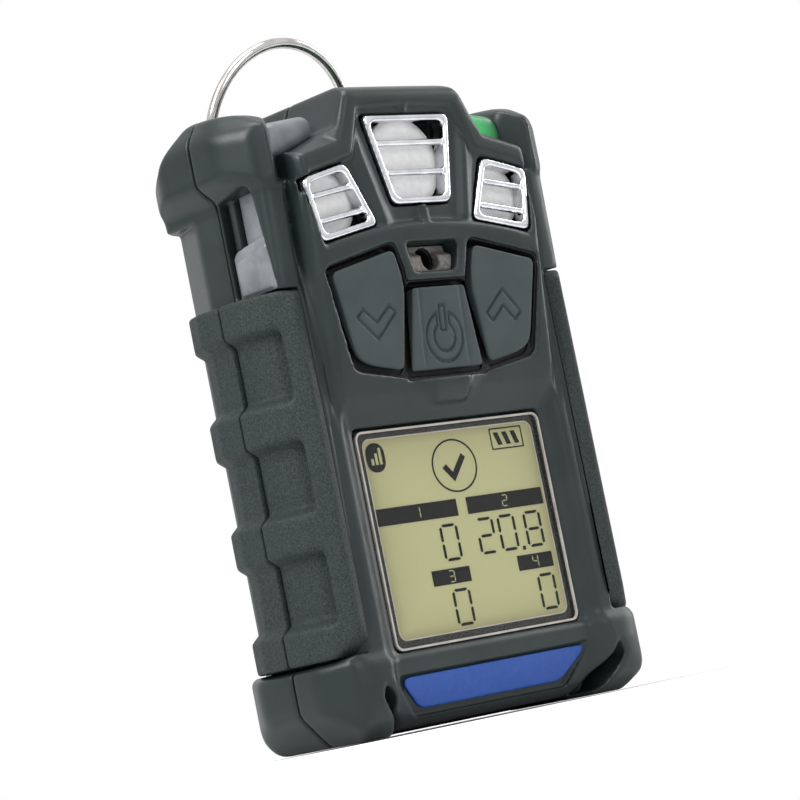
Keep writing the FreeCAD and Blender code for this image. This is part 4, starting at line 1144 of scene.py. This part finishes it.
plate = {"low": (-23, 5.5, 2.8), "high": (23, 9.6, 9.7), "outline": [(22.3, 9.25), (22.3, 8.4), (17.2, 3.6)],
         "sunk": 0.28, "half": 0.25}
sideLens = {
    "front": 3.4, "back": 16.2, "low": 77.4, "top": 95.4, "inside": 30.6,
    "lower": ([(5.2, 77.5), (15.7, 77.5), (15.7, 85.0), (14.6, 86.0), (5.6, 87.4)], 0.2, 32.9),
    "upper": ([(6.4, 78.4), (13.2, 78.4), (13.2, 95.3), (7.2, 95.3)], 0.4, 31.4),
    "ledge": ([(6.6, 78), (15.0, 78), (15.0, 84.2), (6.8, 85.6)], 0.4, 33.25),
}
shoulderLens = {
    "outline": [(16.5, 104.0), (17.2, 108.0), (28.2, 106.6), (28.6, 99.8), (26.6, 99.8)],
    "reach": 29.0, "back": 16.0, "top": 108.6, "soft": 2.2,
}


def makeLabel():
    block = Block(plate["low"], plate["high"], 0.3)
    outline = convexField(np.abs(block.x), block.z, mirrored(plate["outline"]), 1.2)
    slope = labelSlope(block.y, block.z)
    body = smoothMax(outline, np.abs(slope + plate["sunk"]) - plate["half"], 0.15)
    piece = block.surface("name_plate_face", body, 0.5)
    return finishPiece(piece, labelBlue, replaces=("name_plate",))


def makeSideLens(word, side, pitch):
    low, high = nodeBox("side_lens_" + word)
    block = Block((low[0], sideLens["front"], sideLens["low"]),
                  (high[0], sideLens["back"], sideLens["top"]), pitch)
    x, y, z = block.x * side, block.y, block.z
    steps = [np.maximum(convexField(y, z, points, soft), x - outside)
             for points, soft, outside in (sideLens[name] for name in ("lower", "upper", "ledge"))]
    body = smoothMin(smoothMin(steps[0], steps[1], 0.15), steps[2], 0.15)
    body = np.maximum(body, sideLens["inside"] - x)
    piece = block.surface("side_light_" + word, body, 0.5)
    return finishPiece(piece, lensPlastic, replaces=("side_lens_" + word,))


def makeShoulderLens(word, side, material, pitch):
    look = shoulderLens
    low, high = nodeBox("shoulder_lens_" + word)
    edge = side * look["reach"]
    block = Block((min(low[0], edge), low[1], low[2]),
                  (max(high[0], edge), look["back"] + 0.2, look["top"]), pitch)
    x, y, z = block.x * side, block.y, block.z
    outline = convexField(x, z, look["outline"], look["soft"])
    body = smoothMax(outline, low[1] + 0.2 - y, look["soft"])
    body = smoothMax(body, y - look["back"], 0.8)
    piece = block.surface("shoulder_light_" + word, body, 0.5)
    return finishPiece(piece, material, replaces=("shoulder_lens_" + word,))


makeLabel()
for word, side, material in (("left", -1, lensPlastic), ("right", 1, lensGreen)):
    makeSideLens(word, side, 0.3)
    makeShoulderLens(word, side, material, 0.35)
print("label and lenses made")


# Screws and charging pads: one shape repeated by geometry nodes.

fixing = {
    "case": {"places": [(-25.5, 73), (25.5, 73), (-25.5, 13), (25.5, 13)], "radius": 2.2, "height": 1.1},
    "clip": {"places": [(0, 51), (0, 70)], "radius": 2.15, "height": 0.8},
    "edgeShare": 0.84,
    "slotWide": 0.6,
    "slotShare": 1.5,
    "sides": 32,
}
padRow = {"count": 4, "round": 0.2, "sides": 32}


def repeatTree(name, inputs, build, material):
    # A tree that puts one shape on every point; build gives the points and the shape.
    tree = bpy.data.node_groups.new(name, "GeometryNodeTree")
    for way in ("INPUT", "OUTPUT"):
        tree.interface.new_socket("Geometry", in_out=way, socket_type="NodeSocketGeometry")
    sockets = {}
    for label, kind in inputs.items():
        socket = tree.interface.new_socket(label, in_out="INPUT", socket_type="NodeSocket" + kind)
        sockets[label] = socket.identifier
    nodes, links = tree.nodes, tree.links
    start, end = nodes.new("NodeGroupInput"), nodes.new("NodeGroupOutput")
    points, shape = build(nodes, links, start.outputs)
    spread = wireIn(links, nodes.new("GeometryNodeInstanceOnPoints"), Points=points, Instance=shape)
    real = wireIn(links, nodes.new("GeometryNodeRealizeInstances"), x0=spread)
    coat = addNode(nodes, "GeometryNodeSetMaterial", {"Material": material})
    links.new(wireIn(links, coat, Geometry=real), end.inputs[0])
    return tree, sockets


def slottedHead(nodes, links, inputs):
    head = addNode(nodes, "GeometryNodeMeshCone", {"Vertices": fixing["sides"]})
    head = wireIn(links, head, Radius_Bottom=inputs["Radius"], Radius_Top=inputs["Edge Radius"],
                  Depth=inputs["Height"])
    size = wireIn(links, nodes.new("ShaderNodeCombineXYZ"), X=inputs["Slot Length"], Y=inputs["Slot Width"],
                  Z=inputs["Height"])
    slot = wireIn(links, nodes.new("GeometryNodeMeshCube"), Size=size)
    lift = wireIn(links, nodes.new("ShaderNodeCombineXYZ"), Z=inputs["Height"])
    raised = wireIn(links, nodes.new("GeometryNodeTransform"), Geometry=slot, Translation=lift)
    cut = addNode(nodes, "GeometryNodeMeshBoolean", operation="DIFFERENCE")
    cut = wireIn(links, cut, x0=head, x1=raised)
    turned = addNode(nodes, "GeometryNodeTransform", {"Rotation": (-math.pi / 2, 0, 0)})
    return inputs["Geometry"], wireIn(links, turned, Geometry=cut)


def padLine(nodes, links, inputs):
    row = wireIn(links, nodes.new("GeometryNodeMeshLine"), Count=inputs["Count"],
                 Start_Location=inputs["First"], Offset=inputs["Pitch"])
    pad = addNode(nodes, "GeometryNodeMeshCylinder", {"Vertices": padRow["sides"]})
    return row, wireIn(links, pad, Radius=inputs["Radius"], Depth=inputs["Height"])


def repeated(name, places, tree, sockets, values):
    # The tree's result as a plain mesh.
    piece = newMesh(name, places, [])
    modifier = piece.modifiers.new("Repeat", "NODES")
    modifier.node_group = tree
    for label, value in values.items():
        modifier[sockets[label]] = value
    mesh = bpy.data.meshes.new_from_object(piece.evaluated_get(bpy.context.evaluated_depsgraph_get()))
    piece.modifiers.clear()
    piece.data = mesh
    return piece


def makeScrews():
    inputs = dict.fromkeys(("Radius", "Edge Radius", "Height", "Slot Width", "Slot Length"), "Float")
    tree, sockets = repeatTree("slottedHeads", inputs, slottedHead, plainSteel)
    for word in ("case", "clip"):
        node, look = word + "_screws", fixing[word]
        radius, height = look["radius"] * mm, look["height"] * mm
        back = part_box(node)[1][1] - height
        places = [(x * mm, back, z * mm) for x, z in look["places"]]
        piece = repeated(word + "_screw_heads", places, tree, sockets, {
            "Radius": radius, "Edge Radius": radius * fixing["edgeShare"], "Height": height,
            "Slot Width": fixing["slotWide"] * mm, "Slot Length": radius * fixing["slotShare"]})
        finishPiece(piece, plainSteel, replaces=(node,))


def makePads():
    low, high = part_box("charging_contacts")
    width = high[1] - low[1]
    pitch = (high[0] - low[0] - width) / (padRow["count"] - 1)
    inputs = {"Count": "Int", "Pitch": "Vector", "First": "Vector", "Radius": "Float", "Height": "Float"}
    tree, sockets = repeatTree("padRow", inputs, padLine, goldContact)
    piece = repeated("charging_pads", [(0, 0, 0)], tree, sockets, {
        "Count": padRow["count"], "Pitch": (pitch, 0, 0), "Radius": width / 2, "Height": high[2] - low[2],
        "First": (low[0] + width / 2, (low[1] + high[1]) / 2, (low[2] + high[2]) / 2)})
    applyModifier(piece, "BEVEL", width=padRow["round"] * mm, segments=3)
    finishPiece(piece, goldContact, replaces=("charging_contacts",))


makeScrews()
makePads()
print("screws and pads made")


# Materials of the pieces that keep their CAD shape.

def paint(material, *names):
    for name in names:
        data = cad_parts[name].data
        if not data.materials:
            data.materials.append(material)
        for index in range(len(data.materials)):
            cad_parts[name].material_slots[index].link = "OBJECT"
            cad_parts[name].material_slots[index].material = material


paint(blackRubber, "keypad_mat", "case_seal", "charging_block", "horn_sounder")
paint(springWire, "carrying_ring", "clip_spring")
paint(plainSteel, "ring_bracket", "clip_pin", "motor_cradle", "vibration_motor", "vibration_weight")
paint(clipPlastic, "clip_lever", "clip_plate")
paint(goldContact, "key_switches")
paint(boardGreen, "circuit_board", "keypad_board")
paint(inkBlack, "board_chips")
paint(filterWhite, "alarm_lamps", "display_backlight")
paint(cellWrap, "battery_pack")
paint(sensorCan, "sensor_toxic", "sensor_oxygen", "sensor_combustible")
paint(labelGrey, "rear_label")


# Stage, lights and camera.

view = {
    "azimuth": 43.217, "elevation": 5.509, "roll": -11.409, "place": (-0.3875, -0.41846, 0.0033),
    "lens": 144.0, "sensor": 36, "near": 0.01, "far": 20,
}
stage = {
    "half": 3.0, "drop": 0.0002, "mottle": 6.0, "rough": 0.9,
    "tones": [(0.3, (0.90, 0.90, 0.90)), (0.7, (0.94, 0.94, 0.94))],
    "whiteFrom": 0.10, "whiteTo": 0.22,
    "sky": (0.93, 0.96, 1.0, 1), "skyStrength": 0.30,
}
lights = {
    "key": {"azimuth": 80, "elevation": 40, "distance": 0.7, "size": (0.22, 0.40), "power": 4.6},
    "fill": {"azimuth": 0, "elevation": 25, "distance": 0.9, "size": (0.4, 0.5), "power": 1.6},
    "rim": {"azimuth": -75, "elevation": 20, "distance": 0.7, "size": (0.15, 0.5), "power": 1.8},
    "top": {"azimuth": 20, "elevation": 84, "distance": 0.6, "size": (0.40, 0.25), "power": 2.4},
}


def placeCamera():
    data = bpy.data.cameras.new("Camera")
    data.lens, data.sensor_width = view["lens"], view["sensor"]
    data.clip_start, data.clip_end = view["near"], view["far"]
    camera = bpy.data.objects.new("Camera", data)
    scene.collection.objects.link(camera)
    scene.camera = camera
    turn = Matrix.Rotation(math.radians(-view["azimuth"]), 4, "Z")
    tilt = Matrix.Rotation(math.radians(90 + view["elevation"]), 4, "X")
    roll = Matrix.Rotation(math.radians(view["roll"]), 4, "Z")
    camera.matrix_world = Matrix.Translation(view["place"]) @ turn @ tilt @ roll


def makeFloor():
    half, height = stage["half"], -stage["drop"]
    corners = [(-half, -half, height), (half, -half, height), (half, half, height), (-half, half, height)]
    floor = newMesh("floor", corners, [(0, 1, 2, 3)], False)
    material, nodes, links, shader, where = newMaterial("floorPaper")
    tone = noiseNode(nodes, links, where, stage["mottle"])
    links.new(rampNode(nodes, links, tone, stage["tones"]), shader.inputs["Base Color"])
    shader.inputs["Roughness"].default_value = stage["rough"]
    # far from the object the floor is plain white to the camera, near it the shadow stays
    seen = nodes.new("ShaderNodeLightPath").outputs["Is Camera Ray"]
    away = addNode(nodes, "ShaderNodeVectorMath", operation="LENGTH")
    links.new(where, away.inputs[0])
    far = rangeNode(nodes, links, away.outputs["Value"], 0.0, 1.0, stage["whiteFrom"], stage["whiteTo"])
    both = wireIn(links, addNode(nodes, "ShaderNodeMath", operation="MULTIPLY"), x0=far, x1=seen)
    white = nodes.new("ShaderNodeEmission").outputs[0]
    mix = wireIn(links, nodes.new("ShaderNodeMixShader"), Fac=both, x1=shader.outputs[0], x2=white)
    links.new(mix, outputNode(nodes).inputs[0])
    floor.data.materials.append(material)


def areaLight(name, look):
    data = bpy.data.lights.new(name, "AREA")
    data.shape = "RECTANGLE"
    data.size, data.size_y = look["size"]
    data.energy = look["power"]
    light = bpy.data.objects.new(name, data)
    around, up = math.radians(look["azimuth"]), math.radians(look["elevation"])
    target = Vector((0, 0, caseTop / 2))
    away = Vector((-math.sin(around) * math.cos(up), -math.cos(around) * math.cos(up), math.sin(up)))
    light.location = target + away * look["distance"]
    light.rotation_euler = (target - light.location).to_track_quat("-Z", "Y").to_euler()
    scene.collection.objects.link(light)


def lightWorld():
    # A dim sky for light, plain white to the camera and in reflections.
    world = bpy.data.worlds.new("World")
    scene.world = world
    world.use_nodes = True
    nodes, links = world.node_tree.nodes, world.node_tree.links
    nodes.clear()
    path = nodes.new("ShaderNodeLightPath").outputs
    sky = addNode(nodes, "ShaderNodeBackground", {"Color": stage["sky"], "Strength": stage["skyStrength"]})
    white = addNode(nodes, "ShaderNodeBackground", {"Color": (1, 1, 1, 1), "Strength": 1.0})
    seen = addNode(nodes, "ShaderNodeMath", operation="MAXIMUM")
    seen = wireIn(links, seen, x0=path["Is Camera Ray"], x1=path["Is Glossy Ray"])
    mix = wireIn(links, nodes.new("ShaderNodeMixShader"), Fac=seen, x1=sky.outputs[0], x2=white.outputs[0])
    links.new(mix, nodes.new("ShaderNodeOutputWorld").inputs[0])


placeCamera()
makeFloor()
lightWorld()
for name, look in lights.items():
    areaLight(name, look)
scene.view_settings.view_transform = "Standard"
print("stage made")
